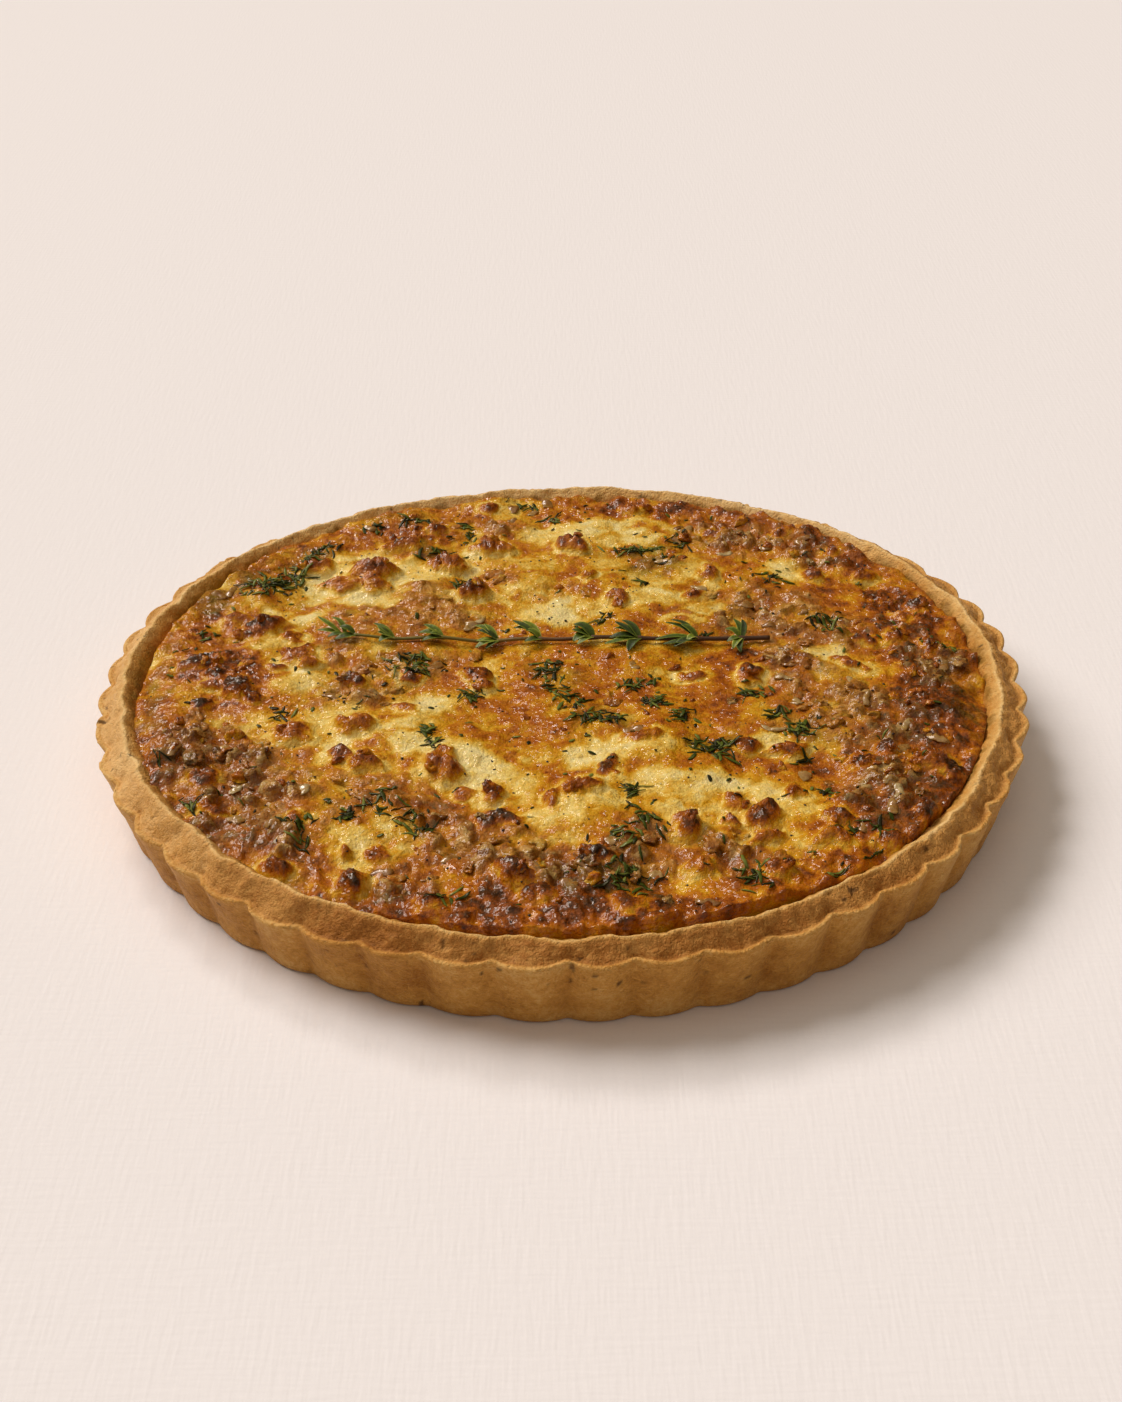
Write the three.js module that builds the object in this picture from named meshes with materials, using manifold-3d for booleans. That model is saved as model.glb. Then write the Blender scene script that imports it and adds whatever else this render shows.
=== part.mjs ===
// A baked quiche: a fluted shortcrust case with a trimmed, sloping rim, a set custard whose top is broken by
// browned cheese, sausage crumbs, onion and herbs, and one sprig of thyme laid across it.
// Millimetres, +Z up. The origin is the middle of the flat underside, and the whole rests on that face.
import * as THREE from "three";
import { mergeVertices } from "three/addons/utils/BufferGeometryUtils.js";
import Module from "manifold-3d";

const wasm = await Module();
wasm.setup();

// Driving dimensions of the pastry case
const RIM_DIAMETER = 280; // over the tips of the flutes, at the top
const FLUTES = 48;
const FLUTE_DEPTH = 3.0; // from tip to groove, at the cut edge
const EDGE_HEIGHT = 22; // the crisp outer edge, above the table
const LIP_HEIGHT = 25.7; // the rounded inner lip, the highest pastry
const BASE_DIAMETER = 268; // over the flute tips, at the table
const CENTRE_SHIFT = [0.5, 1.3]; // of the mean circle, so that the uneven round is centred on the origin
const BASE_THICKNESS = 4;
const WALL_INSIDE_TOP = 127.2; // radius where the filling meets the pastry
const WALL_INSIDE_FOOT = 123.5;

// Driving dimensions of the filling
const FILLING_EDGE_HEIGHT = 22.9;
const FILLING_DOME = 1.3; // how far the middle has puffed above the edge
const GAP = 0.3; // between neighbouring pieces
const RELIEF_ROOT = 2.2; // how far toppings reach down into the custard

// Driving dimensions of the thyme sprig
const STEM_CUT_RADIUS = 0.75;
const STEM_TIP_RADIUS = 0.4;
const STEM_LIFT = 1.5; // stem centre above the custard
const LEAF_THICKNESS = 0.5;
const LEAF_CLEARANCE = 0.75; // leaf centre above the custard

const DEGREE = Math.PI / 180;
const GOLDEN_ANGLE = Math.PI * (3 - Math.sqrt(5));

// A seeded generator of numbers from 0 to 1, so that every build is the same
function seededRandom(seed) {
  let state = seed;
  return () => {
    state = (state * 1664525 + 1013904223) % 4294967296;
    return state / 4294967296;
  };
}

// A closed mesh with its shared corners merged, as a solid
function toSolid(geometry) {
  const bare = geometry.clone();
  bare.deleteAttribute("normal");
  bare.deleteAttribute("uv");
  const merged = mergeVertices(bare, 1e-4);
  return new wasm.Manifold(
    new wasm.Mesh({
      numProp: 3,
      vertProperties: merged.attributes.position.array,
      triVerts: new Uint32Array(merged.index.array),
    }),
  );
}

// The largest connected body of a solid, which drops scraps and fills sealed hollows
function largestBody(solid) {
  const bodies = solid.decompose();
  return bodies.reduce((best, body) => (body.volume() > best.volume() ? body : best));
}

function toGeometry(solid) {
  const mesh = solid.getMesh();
  const geometry = new THREE.BufferGeometry();
  geometry.setAttribute("position", new THREE.BufferAttribute(mesh.vertProperties, 3));
  geometry.setIndex(new THREE.BufferAttribute(mesh.triVerts, 1));
  geometry.computeVertexNormals();
  return geometry;
}

// A closed shell through rings of points, each a list of [x, y, z] counter-clockwise from above. The first ring is
// closed by a point on the axis below, the last by one above, and a ring may have a whole multiple of the next one's points.
function shellThroughRings(rings, firstCentre, lastCentre) {
  const points = [firstCentre, ...rings.flat(), lastCentre];
  const faces = [];
  const starts = [];
  let start = 1;
  for (const ring of rings) {
    starts.push(start);
    start += ring.length;
  }
  const first = rings[0].length;
  for (let i = 0; i < first; i++) faces.push([0, starts[0] + ((i + 1) % first), starts[0] + i]);
  for (let k = 0; k + 1 < rings.length; k++) {
    const many = rings[k].length;
    const few = rings[k + 1].length;
    const ratio = many / few;
    for (let i = 0; i < few; i++) {
      const here = starts[k + 1] + i;
      const next = starts[k + 1] + ((i + 1) % few);
      const turn = Math.floor(ratio / 2);
      for (let s = 0; s < ratio; s++) {
        const a = starts[k] + i * ratio + s;
        const b = starts[k] + ((i * ratio + s + 1) % many);
        faces.push([a, b, s < turn ? here : next]);
        if (s === turn) faces.push([a, next, here]);
      }
    }
  }
  const last = rings[rings.length - 1].length;
  const top = points.length - 1;
  const lastStart = starts[starts.length - 1];
  for (let i = 0; i < last; i++) faces.push([lastStart + i, lastStart + ((i + 1) % last), top]);
  return meshOf(points, faces);
}

function meshOf(points, faces) {
  const geometry = new THREE.BufferGeometry();
  geometry.setAttribute("position", new THREE.Float32BufferAttribute(points.flat(), 3));
  geometry.setIndex(faces.flat());
  return geometry;
}

// Pastry case

// A slow, uneven wave round the rim, from -1 to 1, as hand-lined pastry has
function rimWave(angle, shift) {
  return (
    0.5 * Math.sin(5 * angle + shift) +
    0.3 * Math.sin(13 * angle + 2.1 * shift) +
    0.2 * Math.sin(29 * angle + 3.7 * shift)
  );
}

// The round as a hand-lined tin gives it: how far the radius strays from a true circle, as a factor
function outOfRound(angle) {
  return (
    1 +
    0.0067 * Math.cos(2 * angle) +
    0.0072 * Math.sin(2 * angle) -
    0.0046 * Math.cos(3 * angle) +
    0.0103 * Math.sin(3 * angle) -
    0.0023 * Math.cos(4 * angle)
  );
}

// The place of a point at an angle and a nominal radius: [x, y]
function roundPoint(angle, radius) {
  const r = radius * outOfRound(angle);
  return [CENTRE_SHIFT[0] + r * Math.cos(angle), CENTRE_SHIFT[1] + r * Math.sin(angle)];
}

// How far a flute bulges at an angle: 0 in the sharp groove, 1 at the middle of the rounded tip
function fluteBulge(angle) {
  const phase = (((angle * FLUTES) / (2 * Math.PI)) % 1 + 1) % 1;
  return 4 * phase * (1 - phase);
}

// A ring of the case: radius and height of the grooves, flute depth and unevenness, at a number of steps
function caseRing(steps, radius, height, depth = 0, radialWave = 0, heightWave = 0, shift = 0) {
  return Array.from({ length: steps }, (_, i) => {
    const angle = (2 * Math.PI * i) / steps;
    const r = radius + depth * fluteBulge(angle) + radialWave * rimWave(angle, shift);
    const z = height + heightWave * rimWave(angle, shift + 1);
    return [...roundPoint(angle, r), z];
  });
}

function pastryCase() {
  const fine = FLUTES * 6;
  const coarse = FLUTES;
  const edge = RIM_DIAMETER / 2 - FLUTE_DEPTH;
  const baseDepth = FLUTE_DEPTH * 0.6;
  const foot = BASE_DIAMETER / 2 - baseDepth;
  const lip = edge - 5.7;
  const rings = [
    caseRing(fine, foot - 1.6, 0, baseDepth * 0.8),
    caseRing(fine, foot, 1.5, baseDepth),
    caseRing(fine, edge, EDGE_HEIGHT - 0.5, FLUTE_DEPTH, 0, 0.4, 2),
    caseRing(fine, edge - 0.9, EDGE_HEIGHT + 0.3, FLUTE_DEPTH, 0, 0.4, 2),
    caseRing(fine, edge - 2, EDGE_HEIGHT - 0.1, FLUTE_DEPTH * 0.8, 0, 0.4, 2),
    caseRing(coarse, lip + 1.4, LIP_HEIGHT - 0.7, 0, 0.4, 0.3, 4),
    caseRing(coarse, lip, LIP_HEIGHT - 0.2, 0, 0.4, 0.3, 4),
    caseRing(coarse, lip - 1.8, LIP_HEIGHT - 0.9, 0, 0.4, 0.3, 4),
    caseRing(coarse, WALL_INSIDE_TOP, FILLING_EDGE_HEIGHT - 0.6),
    caseRing(coarse, WALL_INSIDE_FOOT, BASE_THICKNESS),
  ];
  return shellThroughRings(rings, [0, 0, 0], [0, 0, BASE_THICKNESS]);
}

// Filling

// Height of the baked custard: a low dome plus ripples, each shorter than the last and turned by the golden angle
function custardHeight(x, y) {
  const share = Math.hypot(x - CENTRE_SHIFT[0], y - CENTRE_SHIFT[1]) / WALL_INSIDE_TOP;
  let height = FILLING_EDGE_HEIGHT + FILLING_DOME * (1 - share ** 4);
  for (let i = 0; i < 6; i++) {
    const turn = i * GOLDEN_ANGLE;
    const wavelength = 74 * 0.78 ** i;
    const along = x * Math.cos(turn) + y * Math.sin(turn);
    height += 0.48 * 0.9 ** i * Math.sin((2 * Math.PI * along) / wavelength + 1.7 * i);
  }
  return height;
}

function custardBody() {
  const sectors = FLUTES;
  const ringCount = 10;
  const flank = WALL_INSIDE_TOP - WALL_INSIDE_FOOT;
  const wallHeight = FILLING_EDGE_HEIGHT - 0.6 - BASE_THICKNESS;
  const foot = WALL_INSIDE_FOOT - GAP - 0.1;
  const top = WALL_INSIDE_TOP - GAP - 0.1;
  const ring = (radius, heightAt) =>
    Array.from({ length: sectors }, (_, i) => {
      const [x, y] = roundPoint((2 * Math.PI * i) / sectors, radius);
      return [x, y, heightAt(x, y)];
    });
  const shoulder = FILLING_EDGE_HEIGHT - 1.8;
  const shoulderRadius = top - (flank * 1.2) / wallHeight;
  const rings = [
    ring(foot, () => BASE_THICKNESS + GAP),
    ring(shoulderRadius, () => shoulder),
    ...Array.from({ length: ringCount }, (_, k) => {
      const radius = (shoulderRadius - 0.8) * (1 - (k / ringCount) ** 0.92);
      return ring(radius, custardHeight);
    }),
  ];
  return shellThroughRings(rings, [0, 0, BASE_THICKNESS + GAP], [0, 0, custardHeight(0, 0)]);
}

// The space that the filling and its toppings may take: inside the case's wall, and open above
function insideCase() {
  const steps = FLUTES;
  const radiusTop = WALL_INSIDE_TOP - GAP;
  const radiusFoot = WALL_INSIDE_FOOT - GAP;
  const rings = [
    caseRing(steps, radiusFoot, BASE_THICKNESS),
    caseRing(steps, radiusTop, FILLING_EDGE_HEIGHT - 0.6),
    caseRing(steps, radiusTop, LIP_HEIGHT + 20),
  ];
  return toSolid(shellThroughRings(rings, [0, 0, BASE_THICKNESS], [0, 0, LIP_HEIGHT + 20]));
}

// Toppings that stand out of the custard, x and y in mm with +Y to the back: [x, y, length, width, height, turn]
const BROWNED_CHEESE = [
  [-63, 67, 15, 13, 6.5, 20], [-38, 73, 13, 10, 5.5, 0], [-82, 71, 10, 8, 4, 10], [-75, 60, 9, 8, 3, 0],
  [-55, 86, 10, 7, 4, 0], [-24, 86, 13, 9, 4.5, 0], [-28, 51, 11, 9, 5.5, 30], [-94, 31, 11, 9, 5, 20],
  [-98, 25, 8, 6, 4, 0], [-84, 25, 6, 5, 3, 0], [-80, 11, 11, 8, 5, 20], [-77, 4, 8, 7, 4, 60],
  [-111, 7, 15, 7, 5, 25], [-98, -8, 13, 11, 6, 120], [-107, -16, 8, 5, 4, 10], [-62, -4, 8, 7, 6, 90],
  [-26, -2, 12, 7, 4.5, 110], [-61, -31, 10, 9, 4.5, 60], [-94, -37, 7, 7, 4.5, 0], [-63, -46, 8, 7, 6, 100],
  [-56, -51, 8, 7, 5.5, 0], [-34, -52, 14, 11, 5, 110], [-27, -64, 7, 5, 3, 0], [-19, -67, 8, 7, 5.5, 0],
  [-16, -77, 13, 6, 4.5, 10], [5, -64, 12, 10, 4.5, 60], [12, -52, 10, 5, 4, 75], [23, -37, 12, 5, 3, 15],
  [48, -67, 8, 6, 4, 80], [55, -75, 9, 8, 5, 0], [34, -81, 10, 9, 5, 0], [54, -84, 8, 6, 4, 20],
  [64, -41, 11, 7, 4, 20], [104, -50, 14, 11, 6, 0], [92, -44, 8, 7, 4.5, 0], [-13, -103, 11, 9, 5, 20],
  [3, 86, 9, 7, 4.5, 0], [18, 47, 9, 8, 4, 0], [43, 51, 7, 6, 4, 20], [82, 65, 9, 8, 5, 60],
  [57, 1, 10, 8, 4, 60], [88, 3, 15, 7, 3.5, 160], [75, -76, 8, 7, 4, 0], [-55, -104, 9, 8, 5, 90],
];

// Tufts of chopped dill and thyme lying in the surface: [x, y, spread]
const HERB_TUFTS = [
  [-92, 62, 11], [-84, 74, 8], [-80, 84, 6], [-65, 97, 6], [-44, 5, 9], [-40, -35, 7], [-82, -25, 7],
  [-103, -70, 8], [-39, -77, 8], [-70, -84, 8], [-2, -4, 8], [9, -26, 8], [27, -17, 7], [57, -12, 7],
  [44, -43, 9], [70, -32, 9], [18, 82, 8], [40, 86, 8], [69, 62, 7], [84, 29, 7], [17, -105, 9],
  [21, -82, 8], [50, -110, 7], [34, -92, 7], [85, -82, 6], [20, -64, 6], [-33, 84, 6], [32, -54, 5],
];

// A bumpy rounded lump, its corners pushed in and out by a seeded draw
function lump(x, y, length, width, height, turn, detail, random) {
  const shape = new THREE.IcosahedronGeometry(1, detail);
  shape.deleteAttribute("normal");
  shape.deleteAttribute("uv");
  const merged = mergeVertices(shape, 1e-4);
  const corners = merged.attributes.position;
  for (let i = 0; i < corners.count; i++) {
    const push = 1 + 0.34 * (random() - 0.5);
    corners.setXYZ(i, corners.getX(i) * push, corners.getY(i) * push, corners.getZ(i) * push);
  }
  merged.scale(length / 2, width / 2, (height + RELIEF_ROOT) / 2);
  merged.rotateZ(turn * DEGREE);
  merged.translate(x, y, custardHeight(x, y) + (height - RELIEF_ROOT) / 2);
  return toSolid(merged);
}

// A bent, ridged strip of chopped herb, half sunk in the custard
function herbStrip(x, y, length, turn, random) {
  const steps = 2;
  const halfWidth = 0.8 + 0.4 * random();
  const bend = (random() - 0.5) * 2.4;
  const points = [];
  for (let i = 0; i <= steps; i++) {
    const t = i / steps - 0.5;
    const side = bend * (1 - 4 * t * t);
    const width = halfWidth * (1 - 1.7 * t * t);
    const cx = x + Math.cos(turn) * length * t - Math.sin(turn) * side;
    const cy = y + Math.sin(turn) * length * t + Math.cos(turn) * side;
    const z = custardHeight(cx, cy);
    const corner = (across, up) => [cx - Math.sin(turn) * across, cy + Math.cos(turn) * across, z + up];
    points.push(corner(-width, -0.9), corner(width, -0.9), corner(0, 0.85));
  }
  return toSolid(loft(points, 3));
}

// A closed bar through sections of a few corners each, wound counter-clockwise as seen from its far end
function loft(points, corners) {
  const sections = points.length / corners;
  const faces = [];
  for (let s = 0; s + 1 < sections; s++) {
    for (let c = 0; c < corners; c++) {
      const a = s * corners + c;
      const b = s * corners + ((c + 1) % corners);
      faces.push([a, b, b + corners], [a, b + corners, a + corners]);
    }
  }
  const end = (sections - 1) * corners;
  for (let c = 1; c + 1 < corners; c++) {
    faces.push([0, c + 1, c], [end, end + c, end + c + 1]);
  }
  return meshOf(points, faces);
}

// Distance from a point to the stretch of custard that the sprig lies over
function distanceToSprig(x, y) {
  const [left, right] = [SPRIG_ROUTE[0], SPRIG_ROUTE[SPRIG_ROUTE.length - 1]];
  const outside = Math.max(left[0] - 4 - x, x - right[0], 0);
  return Math.hypot(outside, y - 20);
}

// Places spread evenly over the filling by the golden angle, each nudged by a seeded draw
function evenPlaces(count, random) {
  const places = [];
  for (let i = 0; i < count; i++) {
    const radius = (WALL_INSIDE_TOP - 5) * Math.sqrt((i + 0.5) / count) + 5 * (random() - 0.5);
    const angle = i * GOLDEN_ANGLE + 0.3 * (random() - 0.5);
    const x = radius * Math.cos(angle);
    const y = radius * Math.sin(angle);
    if (distanceToSprig(x, y) > 13) places.push([x, y]);
  }
  return places;
}

function filling() {
  const random = seededRandom(7);
  const pieces = [];
  for (const [x, y, length, width, height, turn] of BROWNED_CHEESE) {
    const detail = length * width > 80 ? 1 : 0;
    pieces.push(lump(x, y, length, width, height, turn, detail, random));
  }
  // Sausage crumbs, thickest towards the rim where the custard has shrunk back from them
  for (const [x, y] of evenPlaces(58, random)) {
    const size = 3.5 + 3 * random();
    if (Math.hypot(x, y) < 60 && random() < 0.5) continue;
    pieces.push(lump(x, y, size * 1.2, size, size * 0.42, 180 * random(), 0, random));
  }
  for (const [x, y, spread] of HERB_TUFTS) {
    for (let i = 0; i < 2; i++) {
      const turn = i * GOLDEN_ANGLE + random();
      const away = spread * 0.4 * random();
      const length = spread * (0.5 + 0.4 * random());
      pieces.push(herbStrip(x + away * Math.cos(turn), y + away * Math.sin(turn), length, turn, random));
    }
  }
  let solid = toSolid(custardBody());
  for (const piece of pieces) solid = solid.add(piece);
  return toGeometry(largestBody(solid.intersect(insideCase())));
}

// Thyme sprig

// The stem's route seen from above, from its leafy tip to its cut end: [x, y]
const SPRIG_ROUTE = [
  [-72, 23], [-63, 19.6], [-52, 19.2], [-37, 20.2], [-20, 21], [0, 19.3], [22, 19.2], [44, 19.9], [64.5, 21.2],
];

// Whorls of leaves: [x along the stem, number of leaves, half the fan in degrees, leaf length, leaf width]
const WHORLS = [
  [-70.5, 3, 20, 8.0, 2.3], [-63, 4, 40, 8.5, 2.9], [-52, 3, 40, 7.0, 3.0], [-37.3, 3, 38, 7.0, 3.2],
  [-20.2, 4, 46, 7.2, 2.8], [-6.6, 4, 40, 9.0, 2.6], [9.9, 3, 44, 6.8, 3.2], [24.5, 5, 58, 9.5, 2.8],
  [42.2, 4, 50, 7.8, 2.8], [56.6, 5, 78, 7.5, 2.4],
];

const sprigRoute = new THREE.CatmullRomCurve3(
  SPRIG_ROUTE.map(([x, y]) => new THREE.Vector3(x, y, custardHeight(x, y) + STEM_LIFT)),
);

// The stem's centre where its route passes over an x
function stemAt(x) {
  let low = 0;
  let high = 1;
  for (let i = 0; i < 30; i++) {
    const middle = (low + high) / 2;
    if (sprigRoute.getPoint(middle).x < x) low = middle;
    else high = middle;
  }
  return { point: sprigRoute.getPoint(low), tangent: sprigRoute.getTangent(low), share: low };
}

function stem() {
  const steps = 18;
  const sides = 5;
  const points = [];
  for (let i = 0; i <= steps; i++) {
    const centre = sprigRoute.getPoint(i / steps);
    const along = sprigRoute.getTangent(i / steps);
    const across = new THREE.Vector3(0, 0, 1).cross(along).normalize();
    const up = along.clone().cross(across).normalize();
    const radius = THREE.MathUtils.lerp(STEM_TIP_RADIUS, STEM_CUT_RADIUS, i / steps);
    for (let k = 0; k < sides; k++) {
      const turn = (2 * Math.PI * k) / sides;
      const corner = centre
        .clone()
        .addScaledVector(across, radius * Math.cos(turn))
        .addScaledVector(up, radius * Math.sin(turn));
      points.push(corner.toArray());
    }
  }
  return toSolid(loft(points, sides));
}

// A thin wavy leaf from a root on the stem, both faces split into the same triangles
function leaf(root, heading, length, width, lift, random) {
  const rows = 3;
  const columns = 2;
  const curl = 0.35 * (random() - 0.5);
  const faces = [];
  const sheet = (side) => {
    const made = [];
    for (let i = 0; i <= rows; i++) {
      const t = i / rows;
      const half = Math.max(0.22, (width / 2) * Math.sin(Math.PI * (0.06 + 0.9 * t) ** 0.9));
      for (let k = 0; k < columns; k++) {
        const across = (2 * k - 1) * half;
        const turn = heading + curl * t;
        const x = root.x + Math.cos(turn) * length * t - Math.sin(turn) * across;
        const y = root.y + Math.sin(turn) * length * t + Math.cos(turn) * across;
        const free = custardHeight(x, y) + LEAF_CLEARANCE + lift * Math.sin(Math.PI * t * 0.8);
        const cupped = 0.3 * Math.sin(7 * t + 2 * k);
        const z = THREE.MathUtils.lerp(root.z, free, Math.min(1, t * 2.5)) + cupped;
        made.push([x, y, z + (side * LEAF_THICKNESS) / 2]);
      }
    }
    return made;
  };
  const size = (rows + 1) * columns;
  const points = [...sheet(1), ...sheet(-1)];
  for (let i = 0; i < rows; i++) {
    for (let k = 0; k + 1 < columns; k++) {
      const a = i * columns + k;
      faces.push([a, a + columns, a + columns + 1], [a, a + columns + 1, a + 1]);
      faces.push([size + a, size + a + columns + 1, size + a + columns], [size + a, size + a + 1, size + a + columns + 1]);
    }
  }
  const rim = [];
  for (let k = 0; k + 1 < columns; k++) rim.push([k + 1, k]);
  for (let i = 0; i < rows; i++) rim.push([i * columns, (i + 1) * columns]);
  for (let k = 0; k + 1 < columns; k++) rim.push([rows * columns + k, rows * columns + k + 1]);
  for (let i = rows; i > 0; i--) rim.push([i * columns + columns - 1, (i - 1) * columns + columns - 1]);
  for (const [a, b] of rim) faces.push([b, a, size + a], [b, size + a, size + b]);
  const solid = toSolid(meshOf(points, faces));
  return solid.volume() < 0 ? toSolid(meshOf(points, faces.map(([a, b, c]) => [a, c, b]))) : solid;
}

function thymeSprig() {
  const random = seededRandom(23);
  let solid = stem();
  for (const [x, count, fan, length, width] of WHORLS) {
    const { point, tangent } = stemAt(x);
    const tipward = Math.atan2(-tangent.y, -tangent.x);
    for (let i = 0; i < count; i++) {
      const place = count > 1 ? (2 * i) / (count - 1) - 1 : 0;
      const heading = tipward + (fan * place + 14 * (random() - 0.5)) * DEGREE;
      const root = point.clone().add(new THREE.Vector3(Math.cos(heading), Math.sin(heading), 0).multiplyScalar(0.4));
      const lift = 0.4 + 1.8 * (1 - Math.abs(place)) + random();
      const size = 0.8 + 0.35 * random();
      solid = solid.add(leaf(root, heading, length * size, width * size, lift, random));
    }
  }
  return toGeometry(largestBody(solid));
}

// Assembly

function piece(name, geometry, color, roughness) {
  const material = new THREE.MeshStandardMaterial({ color, roughness, metalness: 0 });
  const mesh = new THREE.Mesh(geometry, material);
  mesh.name = name;
  return mesh;
}

const quiche = new THREE.Group();
quiche.add(piece("pastry_case", pastryCase(), 0xc39155, 0.8));
quiche.add(piece("filling", filling(), 0xc08a3e, 0.35));
quiche.add(piece("thyme_sprig", thymeSprig(), 0x4c6b2f, 0.6));

export default quiche;
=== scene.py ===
"""A baked quiche with a fluted pastry case, a browned cheese and sausage filling and a sprig of thyme."""

import bpy
import numpy as np
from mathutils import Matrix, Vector


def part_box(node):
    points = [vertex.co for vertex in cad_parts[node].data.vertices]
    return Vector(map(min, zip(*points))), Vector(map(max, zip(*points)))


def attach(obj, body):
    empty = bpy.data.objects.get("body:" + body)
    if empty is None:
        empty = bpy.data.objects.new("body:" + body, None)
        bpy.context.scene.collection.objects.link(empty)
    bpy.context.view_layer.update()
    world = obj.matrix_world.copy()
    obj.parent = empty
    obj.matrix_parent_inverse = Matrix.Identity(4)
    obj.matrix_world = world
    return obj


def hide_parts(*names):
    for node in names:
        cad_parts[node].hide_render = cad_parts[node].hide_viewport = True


bl_info = {
    "name": "Baked Quiche",
    "version": (1, 0, 0),
    "blender": (4, 5, 0),
    "location": "View3D > Sidebar > Quiche",
    "description": "Builds a fluted quiche with a gratinated filling and a sprig of thyme",
    "category": "Add Mesh",
}

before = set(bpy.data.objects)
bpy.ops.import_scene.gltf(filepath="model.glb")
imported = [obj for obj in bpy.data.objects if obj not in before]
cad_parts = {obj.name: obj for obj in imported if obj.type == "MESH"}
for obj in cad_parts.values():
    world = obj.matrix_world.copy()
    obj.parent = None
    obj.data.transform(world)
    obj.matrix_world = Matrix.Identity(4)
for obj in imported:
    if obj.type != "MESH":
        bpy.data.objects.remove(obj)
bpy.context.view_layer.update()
CASE_LOW, CASE_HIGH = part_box("pastry_case")
MM = 0.001

# Shape of the filling's underlying dome, in mm, as the solids have it
WALL_INSIDE_TOP = 127.2  # nominal radius of the wall's inside at the custard
FILLING_EDGE_HEIGHT = 22.9
FILLING_DOME = 1.3
GOLDEN_ANGLE = np.pi * (3 - np.sqrt(5))
CENTRE_SHIFT = (0.5, 1.3)  # middle of the uneven round

# Case, in mm: its foot, the lip's distance inside the edge, the floor's thickness
WALL_FOOT = 132.2
LIP_INSET = 5.7
CRUST_FLOOR = 4.0
DRAWN_FLUTE = 3.0  # depth of the flutes that the case's profile is drawn for

# Half axis of a cheese lump's foot, as a share of the length or width listed for it
LUMP_REACH = 0.69

# Direction of the left front, where the case's edge has sagged
LEFT_FRONT = np.array([-0.84, -0.54])

# Fineness of the two large surfaces: points round each flute, and along each side of the custard's grid
POINTS_PER_FLUTE = 26
CUSTARD_GRID = 308

# Camera, in metres and in degrees below level, and how far the table reaches to each side, in metres
CAMERA_PLACE = (-0.0005, -0.5276, 0.3348)
CAMERA_DIP = 31.206
SENSOR_WIDTH = 36  # mm
TABLE_REACH = 40

# The custard, the crags and the sausage share one material, made with the custard
GRATIN = "browned_custard_and_cheese"

# Route of the thyme stem from its leafy tip to its cut end, x and y in mm
SPRIG_ROUTE = np.array([
    (-72, 23), (-63, 19.6), (-52, 19.2), (-37, 20.2), (-20, 21), (0, 19.3), (22, 19.2), (44, 19.9), (64.5, 21.2),
], float)
SPRIG_ENDS = (-78, 66)  # x in mm, with the leaves
STEM_LIFT = 1.5  # of the stem's middle above the plain custard, in mm

# Knots on the stem where leaves grow, by x in mm
STEM_KNOTS = (-68.9, -64.3, -52.2, -37.3, -20.2, -6.9, 9.5, 24, 41.8, 55.7)

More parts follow.
